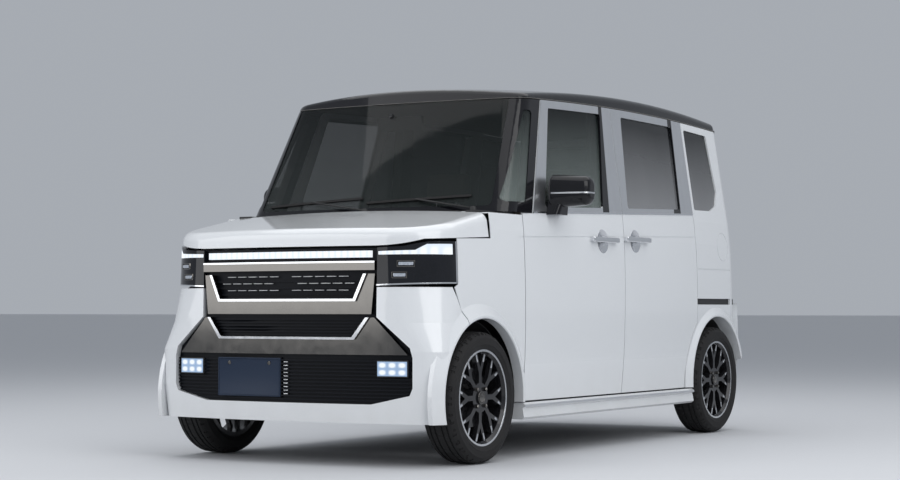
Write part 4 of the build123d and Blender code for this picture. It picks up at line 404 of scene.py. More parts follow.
def depth_in_side(centre):
    """How far a place lies inside the bowed body side."""
    return SKIN_X - (centre.y - WIDEST_Y) ** 2 / (2 * SKIN_BOW) - abs(centre.x)


def rail_floor(normal, centre):
    return outer_side(normal, centre) and (depth_in_side(centre) > RAIL_DEPTH or centre.y > RAIL_END)


sill_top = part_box("side_sills")[1][2]
ledge = band(sill_top - LEDGE_FOOT, sill_top - LEDGE_HEAD)
skin_piece("sill_strips", "side_sills", "body", satin_silver, ledge, outer_side)
skin_piece("slide_rails", "rear_quarters", "body", moulded_black, band(RAIL_LOW, RAIL_HIGH), rail_floor,
           RAIL_THICK)


# Lamps: smoked lenses over white light guides, square fog lamps and red tail lamps, edged in chrome.
# The guides are clear rods lit from one end, so they glow in short cells.
def wave(shade, axis, pitch, peak=0.0):
    """Ribs a pitch apart along an axis, alike on both sides of the car, from nothing to one."""
    out = shade.maths("ABSOLUTE", along(shade, axis))
    swing = shade.maths("COSINE", (out - peak) * (2 * math.pi / pitch))
    return ramp(shade, swing, -1.0, 1.0)


shade = Shade("smoked_lens")
depth = grain(shade, 11.0, 3.0)
smoked_lens = shade.finish(
    Base_Color=two_tone(shade, depth, (0.004, 0.005, 0.007), (0.012, 0.013, 0.017)),
    Roughness=0.03 + 0.05 * depth, Specular_IOR_Level=0.1, Coat_Weight=0.5)


def lit(name, across, up, dim, bright):
    """A glowing lens in cells, each way a pitch and a first peak, bluer towards their edges."""
    shade = Shade(name)
    cell = ramp(shade, wave(shade, "X", *across) * wave(shade, "Z", *up), 0.0, 0.5)
    return shade.finish(Base_Color=two_tone(shade, cell, (0.05, 0.06, 0.08), (0.10, 0.11, 0.12)),
                        Roughness=0.10 + 0.08 * cell, Emission_Strength=0.92,
                        Emission_Color=two_tone(shade, cell, dim, bright))


lit_white = lit("lit_white", (0.030, 0.0), (0.070, 0.892), (0.80, 0.89, 1.0), (0.93, 0.97, 1.0))
lit_fog = lit("lit_fog", (0.044, 0.475), (0.030, 0.395), (0.30, 0.44, 0.66), (0.90, 0.95, 1.0))
shade = Shade("red_lens")
prism = wave(shade, "Z", 0.009)
red_lens = shade.finish(
    Base_Color=two_tone(shade, prism, (0.24, 0.004, 0.006), (0.46, 0.012, 0.014)),
    Roughness=0.08 + 0.06 * prism, Coat_Weight=1.0, Normal=relief(shade, prism, 0.15, 0.0008))
paint(smoked_lens, "headlamps")
paint(lit_white, "light_bar", "lamp_guides")
paint(lit_fog, "fog_lamps")
paint(red_lens, "tail_lamps")

SIDES = (("left", 1.0), ("right", -1.0))
LAMP_INNER, LAMP_FOOT_RISE, LAMP_TRIM, TRIM_THICK = 0.450, 0.034, 0.006, 0.0015


def beyond(x, sign=1.0):
    """A cut across the car that keeps what lies further to the left, or to the right for a sign of -1."""
    return (sign * x, 0.0, 0.0), (sign, 0.0, 0.0)


def rearward(y):
    """A cut along the car that keeps what lies behind it."""
    return (0.0, y, 0.0), (0.0, 1.0, 0.0)


def upright_front(normal, centre):
    return abs(normal.z) < 0.5 and normal.y < 0.3


lamp_low, lamp_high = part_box("headlamps")
rear_cut = rearward(lamp_high[1] - LAMP_TRIM)
for side, sign in SIDES:
    own_side = beyond(0.0, sign)
    foot_cut = (sign * LAMP_INNER, 0.0, lamp_low[2] + LAMP_TRIM), (sign * LAMP_FOOT_RISE, 0.0, -1.0)
    skin_piece("lamp_foot_trim_" + side, "headlamps", "body", chrome, [own_side, foot_cut], upright_front,
               TRIM_THICK)
    skin_piece("lamp_edge_trim_" + side, "headlamps", "body", chrome, [own_side, rear_cut], outer_side,
               TRIM_THICK)

# Projectors: two stacked square lenses in each headlamp, in thin bright bezels.
# A bezel is one moulding, dished so that the lens sits inside its rim.
NO_TURN = (0.0, 0.0, 0.0)
AT_ORIGIN = (0.0, 0.0, 0.0)
nose_y = cad_box[0][1]


def cube(size, place, turn):
    bpy.ops.object.select_all(action="DESELECT")
    bpy.ops.mesh.primitive_cube_add(size=1.0, location=place, rotation=turn)
    obj = bpy.context.object
    obj.scale = size
    bpy.ops.object.transform_apply(location=False, rotation=False, scale=True)
    return obj


def round_over(edge, segments):
    """Rounds all the edges of the mesh in hand and leaves edit mode."""
    bpy.ops.mesh.select_all(action="SELECT")
    bpy.ops.mesh.bevel(offset=edge, segments=segments, affect="EDGES")
    bpy.ops.object.mode_set(mode="OBJECT")


def block(size, place, edge, turn=NO_TURN, segments=2):
    """A box with its edges rounded over."""
    obj = cube(size, place, turn)
    bpy.ops.object.mode_set(mode="EDIT")
    round_over(edge, segments)
    return obj


def tray(size, border, dish, place=AT_ORIGIN, turn=NO_TURN):
    """A box whose front is dished inside a rim."""
    obj = cube(size, place, turn)
    choose_faces(obj, lambda face: face.normal.y < -FACING)
    bpy.ops.mesh.inset(thickness=border)
    bpy.ops.mesh.extrude_region_move(TRANSFORM_OT_translate={"value": (0.0, dish, 0.0)})
    round_over(border / 3, 2)
    return obj


def at(place, angle=0.0, axis="Z"):
    """The move that turns a shape about an axis and takes it to a place."""
    return Matrix.Translation(place) @ Matrix.Rotation(angle, 4, axis)


def put(obj, matrix):
    """Moves a shape's own mesh."""
    obj.data.transform(matrix)
    obj.data.update()
    return obj


def joined(parts):
    """Several shapes made one piece."""
    bpy.ops.object.select_all(action="DESELECT")
    for part in parts:
        part.select_set(True)
    bpy.context.view_layer.objects.active = parts[0]
    bpy.ops.object.join()
    return parts[0]


def on_face(node, x, z):
    """Where a node is met from the front, and how far its face turns from straight ahead."""
    place, normal = nodes[node].ray_cast((x, nose_y - 1.0, z), (0.0, 1.0, 0.0))[1:3]
    return place, math.atan2(normal.x, -normal.y)


shade = Shade("lens_glass")
ring = ramp(shade, grain(shade, 180.0), 0.3, 0.7)
lens_glass = shade.finish(Base_Color=two_tone(shade, ring, (0.36, 0.40, 0.46), (0.60, 0.64, 0.70)),
                          Roughness=0.03 + 0.03 * ring, Metallic=0.4, Coat_Weight=1.0)
PROJECTORS = (
    # place across and up, width, height
    (0.572, 0.845, 0.076, 0.028),
    (0.548, 0.798, 0.066, 0.028),
)
BEZEL_DEEP, BEZEL_PROUD, BEZEL_RIM, BEZEL_DISH = 0.012, 0.0015, 0.004, 0.006
LENS_MARGIN, LENS_DEEP, LENS_EDGE = 0.014, 0.006, 0.0025
set_in = at((0.0, BEZEL_DEEP / 2 - BEZEL_PROUD, 0.0))
for side, sign in SIDES:
    bezels, lenses = [], []
    for x, z, wide, tall in PROJECTORS:
        place, angle = on_face("headlamps", sign * x, z)
        stand = at(place, angle)
        bezel = tray((wide, BEZEL_DEEP, tall), BEZEL_RIM, BEZEL_DISH)
        bezels.append(put(bezel, stand @ set_in))
        lens = block((wide - LENS_MARGIN, LENS_DEEP, tall - LENS_MARGIN), AT_ORIGIN, LENS_EDGE)
        lenses.append(put(lens, stand))
    fit(joined(bezels), "projector_bezels_" + side, "body", dark_chrome)
    fit(joined(lenses), "projector_lenses_" + side, "body", lens_glass)

# Fog lamp frames: black bezels round the square lamps, clipped into the lower intake.
# Each is one moulding, turned to follow the bow of the nose.
NOSE_RADIUS = 3.6
FOG_X, FOG_WIDE, FOG_BORDER, FOG_SET_BACK = 0.519, 0.132, 0.010, 0.014
FOG_DEEP, FOG_RIM, FOG_DISH = 0.010, 0.007, 0.006


def nose_at(x, depth):
    """Where the bowed front face lies at a place across the car."""
    return nose_y + depth + NOSE_RADIUS - math.sqrt(NOSE_RADIUS ** 2 - x ** 2)


def with_nose(x):
    """The turn that follows the bowed front face."""
    return (0.0, 0.0, math.asin(x / NOSE_RADIUS))


fog_low, fog_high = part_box("fog_lamps")
fog_size = (FOG_WIDE + FOG_BORDER, FOG_DEEP, fog_high[2] - fog_low[2] + FOG_BORDER)
for side, sign in SIDES:
    place = (sign * FOG_X, nose_at(FOG_X, FOG_SET_BACK), (fog_low[2] + fog_high[2]) / 2)
    bezel = tray(fog_size, FOG_RIM, FOG_DISH, place, with_nose(sign * FOG_X))
    fit(bezel, "fog_frame_" + side, "body", moulded_black)

# Grille brightwork: polished lips on the cups, a polished edge on the bar, and rows of short plated
# dashes clipped between the slats. The badge's place in the middle stays bare.
LIP_DEPTH, LIP_TOP, BAR_TOP, BAR_EDGE = 0.004, 0.810, 0.857, 0.007
DASH_SIZE, DASH_DEPTH, DASH_EDGE = (0.046, 0.006, 0.003), 0.0185, 0.001
DASH_PITCH, DASH_REACH, BARE_HALF = 0.058, 7, 0.055
DASH_ROWS = (
    # height, half width of the opening, shift across
    (0.7945, 0.370, 0.000),
    (0.7655, 0.358, 0.029),
    (0.7365, 0.345, 0.000),
)
STACK_SIZE, STACK_X, STACK_FOOT = (0.022, 0.005, 0.0035), 0.004, 0.2985
STACK_PITCH, STACK_COUNT = 0.015, 10


def on_lip(normal, centre):
    return normal.y < -0.5 and centre.y - nose_at(centre.x, 0.0) < LIP_DEPTH


skin_piece("cup_lips", "grille_chrome", "body", chrome, [below(LIP_TOP)], on_lip, TRIM_THICK)
skin_piece("bar_edge", "grille_chrome", "body", chrome, [above(BAR_TOP - BAR_EDGE)], facing_front, TRIM_THICK)
dashes = []
for z, half, shift in DASH_ROWS:
    for step in range(-DASH_REACH, DASH_REACH + 1):
        x = step * DASH_PITCH + shift
        if BARE_HALF < abs(x) < half - DASH_SIZE[0] / 2:
            dashes.append(block(DASH_SIZE, (x, nose_at(x, DASH_DEPTH), z), DASH_EDGE, with_nose(x), 1))
fit(joined(dashes), "grille_dashes", "body", satin_silver)
stack = []
for row in range(STACK_COUNT):
    place = (STACK_X, nose_at(STACK_X, DASH_DEPTH), STACK_FOOT + STACK_PITCH * row)
    stack.append(block(STACK_SIZE, place, DASH_EDGE, segments=1))
fit(joined(stack), "intake_dashes", "body", satin_silver)

# Number plate: a blank sheet in dark-blue enamel, pressed with a raised rim.
# It hangs on two bolts, to the right of the lower intake's middle.
PLATE_SIZE, PLATE_RIM, PLATE_DISH = (0.330, 0.004, 0.165), 0.006, 0.0015
PLATE_X, PLATE_SET_BACK, PLATE_Z = -0.190, 0.022, 0.367
BOLT_SPACING, BOLT_RISE, BOLT_SEGMENTS = 0.210, 0.060, 12
BOLT_ROWS = [
    # radius and height, from the middle of the head round to the foot
    (0.0005, 0.005), (0.005, 0.005), (0.0058, 0.0042), (0.0085, 0.0015), (0.0085, 0.0), (0.0005, 0.0),
]


def turned(rows, segments):
    """A turned piece about its own Z: a ring drawn out through rows of radius and height."""
    radius, height = rows[0]
    bpy.ops.object.select_all(action="DESELECT")
    bpy.ops.mesh.primitive_circle_add(vertices=segments, radius=radius, location=AT_ORIGIN)
    obj = bpy.context.object
    bpy.ops.object.mode_set(mode="EDIT")
    bpy.ops.mesh.select_mode(type="VERT")
    bpy.ops.mesh.select_all(action="SELECT")
    bpy.ops.transform.translate(value=(0.0, 0.0, height))
    for (last_radius, last_height), (radius, height) in zip(rows, rows[1:]):
        bpy.ops.mesh.extrude_edges_move(TRANSFORM_OT_translate={"value": (0.0, 0.0, height - last_height)})
        scale = radius / last_radius
        bpy.ops.transform.resize(value=(scale, scale, 1.0), center_override=(0.0, 0.0, height))
    bpy.ops.mesh.select_all(action="SELECT")
    bpy.ops.mesh.remove_doubles(threshold=WELD)
    bpy.ops.mesh.normals_make_consistent(inside=False)
    bpy.ops.object.mode_set(mode="OBJECT")
    return obj


shade = Shade("plate_blue")
speck = grain(shade, 300.0, 3.0)
plate_blue = shade.finish(
    Base_Color=two_tone(shade, speck, (0.018, 0.029, 0.054), (0.022, 0.035, 0.064)),
    Roughness=0.28 + 0.12 * speck, Specular_IOR_Level=0.15, Normal=relief(shade, speck, 0.06, 0.0004))
plate_y = nose_y + PLATE_SET_BACK
plate = tray(PLATE_SIZE, PLATE_RIM, PLATE_DISH, (PLATE_X, plate_y - PLATE_SIZE[1] / 2, PLATE_Z))
fit(plate, "front_plate", "body", plate_blue)
bolts = []
for end in (-0.5, 0.5):
    place = (PLATE_X + end * BOLT_SPACING, plate_y + PLATE_DISH - PLATE_SIZE[1], PLATE_Z + BOLT_RISE)
    bolts.append(put(turned(BOLT_ROWS, BOLT_SEGMENTS), at(place, math.pi / 2, "X")))
fit(joined(bolts), "plate_bolts", "body", dark_chrome)

# Wipers: pressed-steel arms sprung down on rubber blades that lie along the foot of the screen.
# Each blade is drawn from the glass's own curve, so that it touches all along.
SCREEN_Y, SCREEN_FOOT, SCREEN_RUN, SCREEN_BOW = -1.0738, 1.100, 0.5237, 2.7
BLADE_RISE, BLADE_WIDE, BLADE_THICK = 0.045, 0.010, 0.009
HOOK_OUT, HOOK_RISE = 0.014, 0.004
PIVOT_Z, PIVOT_OUT, ARM_RISE, ARM_WIDE, ARM_THICK = 1.086, 0.030, 0.014, 0.014, 0.007
KNOB_ROWS = [(0.0005, 0.022), (0.010, 0.022), (0.014, 0.017), (0.016, 0.0), (0.0005, 0.0)]
KNOB_SEGMENTS = 20
WIPERS = (
    # name, blade's ends across, its height at the first end, pivot across
    ("driver", -0.560, -0.020, 1.126, 0.030),
    ("passenger", 0.010, 0.520, 1.128, 0.560),
)
cowl_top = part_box("cowl")[1][2]
shade = Shade("rubber")
scuff = grain(shade, 34.0, 6.0)
rubber = shade.finish(
    Base_Color=two_tone(shade, scuff, (0.010, 0.010, 0.011), (0.026, 0.025, 0.025)),
    Roughness=0.58 + 0.28 * scuff, Specular_IOR_Level=0.25,
    Normal=relief(shade, grain(shade, 900.0), 0.2, 0.0004))


def short_of(x, sign=1.0):
    """A cut across the car that keeps what beyond takes off."""
    return (sign * x, 0.0, 0.0), (-sign, 0.0, 0.0)


def slanted(x, z, rise, way):
    """A cut along a line in the front view that keeps what lies above it, or below for a way of -1."""
    return (x, 0.0, z), (-way * rise, 0.0, way)


def blade_cuts(start, end, foot, rise, wide):
    along_foot = slanted(start, foot, rise, 1.0)
    along_top = slanted(start, foot + wide, rise, -1.0)
    return [beyond(start), short_of(end), along_foot, along_top]


def strut(start, end, width, thick, edge=0.002):
    """A bar from one place to another."""
    run = Vector(end) - Vector(start)
    bar = block((run.length, width, thick), AT_ORIGIN, edge)
    turn = run.to_track_quat("X", "Z").to_matrix().to_4x4()
    return put(bar, at((Vector(start) + Vector(end)) / 2) @ turn)


def screen_at(x, z):
    """Where the screen's outer face lies."""
    return SCREEN_Y + SCREEN_RUN * (z - SCREEN_FOOT) + x ** 2 / (2 * SCREEN_BOW)


for name, start, end, foot, pivot in WIPERS:
    cuts = blade_cuts(start, end, foot, BLADE_RISE, BLADE_WIDE)
    skin_piece("wiper_blade_" + name, "windscreen", "body", rubber, cuts, facing_front, BLADE_THICK)
    middle = (start + end) / 2
    height = foot + BLADE_RISE * (middle - start) + BLADE_WIDE / 2
    hook = (middle, screen_at(middle, height) - HOOK_OUT, height + HOOK_RISE)
    pivot_y = screen_at(pivot, PIVOT_Z) - PIVOT_OUT
    knob = put(turned(KNOB_ROWS, KNOB_SEGMENTS), at((pivot, pivot_y, cowl_top)))
    arm = strut((pivot, pivot_y, cowl_top + ARM_RISE), hook, ARM_WIDE, ARM_THICK)
    fit(joined([arm, knob]), "wiper_arm_" + name, "body", moulded_black)

# Mirrors: a gloss cap with a thin signal lens across its face, and a silvered glass behind.
# The glass is stuck to a plate inside the cap's open back.
MIRROR_INNER, MIRROR_OUTER, MIRROR_LOW, MIRROR_HIGH, MIRROR_THICK = 0.730, 0.888, 1.130, 1.252, 0.001
SIGNAL_LOW, SIGNAL_HIGH = 1.178, 1.185
facing_back = facing("y", 1.0)
round_cap = facing("y", -1.0, -0.2)
shade = Shade("mirror_glass")
haze = grain(shade, 8.0, 3.0)
mirror_glass = shade.finish(Base_Color=two_tone(shade, haze, (0.70, 0.73, 0.76), (0.76, 0.79, 0.82)),
                            Metallic=1.0, Roughness=0.02 + 0.03 * haze)
for side, sign in SIDES:
    node, body = "mirror_" + side, "front_door_" + side
    inner, outer = beyond(MIRROR_INNER, sign), short_of(MIRROR_OUTER, sign)
    cuts = [inner, outer, *band(MIRROR_LOW, MIRROR_HIGH)]
    skin_piece("mirror_glass_" + side, node, body, mirror_glass, cuts, facing_back, MIRROR_THICK)
    skin_piece("signal_" + side, node, body, satin_silver, [inner, *band(SIGNAL_LOW, SIGNAL_HIGH)], round_cap)

# Wheels: gloss-black cast alloy with a machined lip, polished spoke tips, four nuts and a plain cap.
# The tyres are moulded rubber, with grooves round the tread, cut shoulders and ringed sidewalls.
AXLES = (("front", -1.250), ("rear", 1.270))
WHEEL_X, WHEEL_Z = 0.6525, 0.281
TREAD_SEGMENTS, TREAD_CREASE = 150, 40.0
LUG_SPACING, LUG_DEPTH, CROWN = 3, 0.003, 0.266
TYRE_HALF = [
    # radius and distance out from the middle, from the crown to the bead's seat
    (0.2808, 0.0130), (0.2750, 0.0140), (0.2750, 0.0200), (0.2804, 0.0210), (0.2796, 0.0370), (0.2745, 0.0380),
    (0.2745, 0.0440), (0.2790, 0.0450), (0.2779, 0.0565), (0.2740, 0.0640), (0.2660, 0.0722), (0.2560, 0.0788),
    (0.2548, 0.0802), (0.2522, 0.0808), (0.2508, 0.0802), (0.2420, 0.0820), (0.2290, 0.0810), (0.2280, 0.0820),
    (0.2256, 0.0816), (0.2246, 0.0802), (0.2150, 0.0765), (0.2085, 0.0735), (0.2066, 0.0700), (0.2066, 0.0617),
    (0.1961, 0.0617),
]
LUG_BANDS = (
    # nearest and furthest from the middle, margin round the cut, shift round the tyre
    (0.0567, 0.0720, 0.0016, 0.0),
    (0.0215, 0.0365, 0.0042, 1.0),
    (0.0, 0.0125, 0.0042, 0.0),
)
# Radius and height of the turned trim
LIP_ROWS = [(0.1962, 0.0695), (0.2058, 0.0695), (0.2058, 0.0706), (0.2050, 0.0714), (0.1972, 0.0714),
            (0.1962, 0.0706), (0.1962, 0.0695)]
NUT_ROWS = [(0.0005, 0.013), (0.0050, 0.013), (0.0085, 0.0105), (0.0090, 0.0), (0.0005, 0.0)]
CAP_ROWS = [(0.0005, 0.0030), (0.0130, 0.0027), (0.0195, 0.0018), (0.0200, 0.0), (0.0005, 0.0)]
RING_ROWS = [(0.0235, 0.0), (0.0235, 0.0012), (0.0242, 0.0018), (0.0266, 0.0018), (0.0272, 0.0012),
             (0.0272, 0.0), (0.0235, 0.0)]
LIP_SEGMENTS, NUT_SEGMENTS, CAP_SEGMENTS = 96, 6, 40
SPOKE_COUNT, SPOKE_FACE, CAP_FACE, NUT_RING, NUT_COUNT = 8, 0.0558, 0.0618, 0.050, 4
TIP_SIZE, TIP_EDGE = (0.0105, 0.034, 0.0030), 0.0010
TIP_SIDE, TIP_OUT, TIP_LEAN = 0.0295, 0.1673, 22.3
shade = Shade("wheel_black")
sparkle = ramp(shade, grain(shade, 1100.0), 0.5, 0.75)
wheel_black = shade.finish(
    Base_Color=two_tone(shade, sparkle, (0.012, 0.012, 0.014), (0.05, 0.05, 0.054)),
    Metallic=0.3, Roughness=0.18 + 0.12 * sparkle, Specular_IOR_Level=0.2, Coat_Weight=0.5)
machined = plating("machined", (0.66, 0.67, 0.69), 0.16, 0.16)


def cut_lugs(tyre, low, high, margin, shift):
    """Sinks every third face of a band round the tread."""
    def in_lug(face):
        turn = math.atan2(face.center.y, face.center.x) / (2 * math.pi) * TREAD_SEGMENTS
        on_crown = math.hypot(face.center.x, face.center.y) > CROWN
        return on_crown and low < abs(face.center.z) < high and math.floor(turn + shift) % LUG_SPACING == 0

    choose_faces(tyre, in_lug)
    bpy.ops.mesh.inset(thickness=margin, depth=-LUG_DEPTH, use_individual=True)
    bpy.ops.object.mode_set(mode="OBJECT")


def copied(obj, matrix):
    """A copy with a mesh of its own."""
    twin = bpy.data.objects.new(obj.name, obj.data.copy())
    bpy.context.collection.objects.link(twin)
    return put(twin, matrix)


def spun(index, count):
    """A share of a full turn about the axle."""
    return Matrix.Rotation(2 * math.pi * index / count, 4, "Z")


far_half = [(radius, -out) for radius, out in reversed(TYRE_HALF)]
tyre = turned(far_half + TYRE_HALF + far_half[:1], TREAD_SEGMENTS)
only(tyre)
for low, high, margin, shift in LUG_BANDS:
    cut_lugs(tyre, low, high, margin, shift)
lip = turned(LIP_ROWS, LIP_SEGMENTS)
nut = turned(NUT_ROWS, NUT_SEGMENTS)
hub = at((0.0, 0.0, CAP_FACE))
cap = joined([put(turned(rows, CAP_SEGMENTS), hub) for rows in (CAP_ROWS, RING_ROWS)])
tip = block(TIP_SIZE, AT_ORIGIN, TIP_EDGE)
nuts = []
for index in range(NUT_COUNT):
    nuts.append(copied(nut, spun(index + 0.5, NUT_COUNT) @ at((NUT_RING, 0.0, SPOKE_FACE))))
tips = []
for index in range(SPOKE_COUNT):
    for way in (-1.0, 1.0):
        stand = at((way * TIP_SIDE, TIP_OUT, SPOKE_FACE), -way * math.radians(TIP_LEAN))
        tips.append(copied(tip, spun(index, SPOKE_COUNT) @ stand))
trims = (
    ("wheel_lip", lip, machined),
    ("wheel_nuts", joined(nuts), dark_chrome),
    ("wheel_cap", cap, dark_chrome),
    ("spoke_tips", joined(tips), machined),
)
for axle, y in AXLES:
    for side, sign in SIDES:
        corner = axle + "_" + side
        paint(wheel_black, "rim_" + corner)
        stand = at((sign * WHEEL_X, y, WHEEL_Z), sign * math.pi / 2, "Y")
        tread = fit(copied(tyre, stand), "tread_" + corner, "wheel_" + corner, rubber, TREAD_CREASE)
        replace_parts(tread, "tyre_" + corner)
        for name, model, finish in trims:
            fit(copied(model, stand), name + "_" + corner, "wheel_" + corner, finish)
for model in (tyre, nut, tip, *[model for name, model, finish in trims]):
    bpy.data.objects.remove(model)

# Tail: clear and amber bands in the red lamps, a high brake lamp under the wing, a wiper on the glass,
# reflectors in the bumper and a black valance below. The lenses are moulded, with a fine ripple inside.
REVERSE_BAND, SIGNAL_BAND = (0.790, 0.845), (0.860, 0.930)
VALANCE_TOP = 0.300
REFLECTOR_INNER, REFLECTOR_OUTER, REFLECTOR_THICK = 0.460, 0.580, 0.004
REFLECTOR_BAND = (0.395, 0.430)
HIGH_LAMP_SIZE = (0.300, 0.016, 0.012)
HIGH_LAMP_SET_IN, HIGH_LAMP_Z, HIGH_LAMP_RIM = 0.012, 1.648, 0.002
REAR_BLADE_ENDS, REAR_BLADE_FOOT, REAR_BLADE_RISE = (-0.300, 0.030), 1.196, 0.02
REAR_BLADE_WIDE, REAR_BLADE_THICK = 0.009, 0.010
REAR_HOOK, REAR_PIVOT = (-0.135, 1.648, 1.203), (0.050, 1.654, 1.172)
REAR_ARM_WIDE, REAR_ARM_THICK = 0.007, 0.013
REAR_KNOB_ROWS = [(0.0005, 0.016), (0.012, 0.016), (0.017, 0.011), (0.018, -0.012), (0.0005, -0.012)]


def rippled_lens(name, dark, light, least):
    shade = Shade(name)
    ripple = ramp(shade, grain(shade, 240.0), 0.3, 0.7)
    return shade.finish(Base_Color=two_tone(shade, ripple, dark, light), Roughness=least + 0.08 * ripple,
                        Coat_Weight=1.0)


amber_lens = rippled_lens("amber_lens", (0.50, 0.15, 0.01), (0.62, 0.22, 0.02), 0.10)
clear_lens = rippled_lens("clear_lens", (0.50, 0.51, 0.53), (0.66, 0.67, 0.69), 0.08)
skin_piece("reverse_lamps", "tail_lamps", "body", clear_lens, band(*REVERSE_BAND), facing_back)
skin_piece("rear_signals", "tail_lamps", "body", amber_lens, band(*SIGNAL_BAND), facing_back)
skin_piece("valance", "rear_bumper", "body", moulded_black, [below(VALANCE_TOP)], facing_back)
for side, sign in SIDES:
    cuts = [beyond(REFLECTOR_INNER, sign), short_of(REFLECTOR_OUTER, sign), *band(*REFLECTOR_BAND)]
    skin_piece("reflector_" + side, "rear_bumper", "body", red_lens, cuts, facing_back, REFLECTOR_THICK)
wing_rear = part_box("spoiler")[1][1]
high_lamp = tray(HIGH_LAMP_SIZE, HIGH_LAMP_RIM, HIGH_LAMP_RIM)
put(high_lamp, at((0.0, wing_rear - HIGH_LAMP_SET_IN, HIGH_LAMP_Z), math.pi))
fit(high_lamp, "high_lamp", "tail_door", red_lens)
cuts = blade_cuts(*REAR_BLADE_ENDS, REAR_BLADE_FOOT, REAR_BLADE_RISE, REAR_BLADE_WIDE)
skin_piece("rear_wiper_blade", "tailgate_glass", "tail_door", rubber, cuts, facing_back, REAR_BLADE_THICK)
knob = put(turned(REAR_KNOB_ROWS, KNOB_SEGMENTS), at(REAR_PIVOT, -math.pi / 2, "X"))
arm = strut(REAR_PIVOT, REAR_HOOK, REAR_ARM_WIDE, REAR_ARM_THICK)
fit(joined([arm, knob]), "rear_wiper_arm", "tail_door", moulded_black)

# Cabin: moulded dark trim with a soft dash top, woven lining overhead and carpet on the floor.
# The trim panels follow the inner side of the steel they cover, and are clipped to it.
MAT_THICK = 0.003
CARPET_FRONT, CARPET_TOP = -0.80, 0.30
LINER_HALF, LINER_FRONT, LINER_REAR = 0.50, -1.55, -1.20
TAIL_CARD_BAND, DOOR_CARD_BAND, SLIDER_CARD_BAND = (0.74, 1.12), (0.30, 1.08), (0.30, 1.10)
ARMREST_SIZE, ARMREST_EDGE = (0.040, 0.360, 0.050), 0.012
LEVER_SIZE, LEVER_RIM = (0.100, 0.012, 0.036), 0.005
# Places on the left
ARMREST_PLACE, LEVER_PLACE = (0.648, -0.330, 0.905), (0.662, -0.560, 0.985)


def forward(y):
    """A cut along the car that keeps what lies ahead of it."""
    return (0.0, y, 0.0), (0.0, -1.0, 0.0)


def inner_side(normal, centre):
    return normal.x * math.copysign(1.0, centre.x) < -FACING


def woven(name, dark, light, pitch):
    """A woven cloth: warp and weft rising in turn."""
    shade = Shade(name)
    warp = shade.maths("SINE", along(shade, "X") * pitch)
    weft = shade.maths("SINE", (along(shade, "Y") + along(shade, "Z")) * pitch)
    weave = ramp(shade, warp * weft + grain(shade, 60.0, 4.0), -0.6, 1.5)
    return shade.finish(Base_Color=two_tone(shade, weave, dark, light), Roughness=0.8 + 0.15 * weave,
                        Normal=relief(shade, weave, 0.35, 0.0008))


def beside(sign, place):
    """A place given for the left, on either side."""
    x, y, z = place
    return (sign * x, y, z)


shade = Shade("grained_trim")
leather = grain(shade, 380.0, 4.0)
grained_trim = shade.finish(
    Base_Color=two_tone(shade, leather, (0.020, 0.020, 0.021), (0.040, 0.039, 0.038)),
    Roughness=0.55 + 0.2 * leather, Normal=relief(shade, leather, 0.3, 0.0008))
lining = woven("lining", (0.20, 0.19, 0.18), (0.30, 0.29, 0.27), 2600.0)
carpet = woven("carpet", (0.012, 0.012, 0.013), (0.035, 0.034, 0.033), 1500.0)
paint(grained_trim, "dashboard", "steering_wheel")
skin_piece("headlining", "roof_panel", "body", lining, [], facing("z", -1.0, 0.5))
skin_piece("floor_carpet", "floor_pan", "body", carpet, [rearward(CARPET_FRONT), below(CARPET_TOP)],
           facing("z", 1.0, 0.9), MAT_THICK)
liner_cuts = [short_of(LINER_HALF), beyond(-LINER_HALF), rearward(LINER_FRONT), forward(LINER_REAR)]
skin_piece("hood_liner", "hood", "hood_lid", carpet, liner_cuts, facing("z", -1.0), MAT_THICK)
skin_piece("tailgate_card", "tailgate", "tail_door", grained_trim, band(*TAIL_CARD_BAND), facing("y", -1.0))
for side, sign in SIDES:
    door, body = "door_front_" + side, "front_door_" + side
    skin_piece("door_card_" + side, door, body, grained_trim, band(*DOOR_CARD_BAND), inner_side)
    armrest = block(ARMREST_SIZE, beside(sign, ARMREST_PLACE), ARMREST_EDGE, segments=3)
    fit(armrest, "armrest_" + side, body, grained_trim)
    lever = put(tray(LEVER_SIZE, LEVER_RIM, LEVER_RIM), at(beside(sign, LEVER_PLACE), -sign * math.pi / 2))
    fit(lever, "door_lever_" + side, body, satin_silver)
skin_piece("slider_cards", "sliding_doors", "body", grained_trim, band(*SLIDER_CARD_BAND), inner_side)

# Dash fittings: a screen on the centre, a hooded cluster ahead of the wheel, four vents and a glove box.
# Each is a dished moulding clipped to the dash's face. The view mirror hangs on a stalk from the screen.
DASH_FACE = -0.584
VENT_PLACES, VENT_Z = (-0.500, -0.160, 0.160, 0.500), 0.930
VENT_SIZE, VENT_RIM, VENT_DISH = (0.110, 0.018, 0.060), 0.005, 0.014
SLAT_SIZE, SLAT_EDGE, SLAT_TURN = (0.096, 0.010, 0.004), 0.001, (0.3, 0.0, 0.0)
SLAT_OUT, SLAT_PITCH = 0.003, 0.014
VIEW_SIZE, VIEW_RIM, VIEW_DISH = (0.240, 0.022, 0.066), 0.004, 0.002
VIEW_PLACE = (0.0, -0.760, 1.520)
STALK_FOOT, STALK_HEAD = (0.0, -0.770, 1.525), (0.0, -0.846, 1.552)
STALK_WIDE, STALK_THICK = 0.022, 0.016
shade = Shade("display")
display = shade.finish(Base_Color=(0.008, 0.009, 0.011, 1.0), Roughness=0.06 + 0.05 * grain(shade, 6.0),
                       Coat_Weight=1.0)
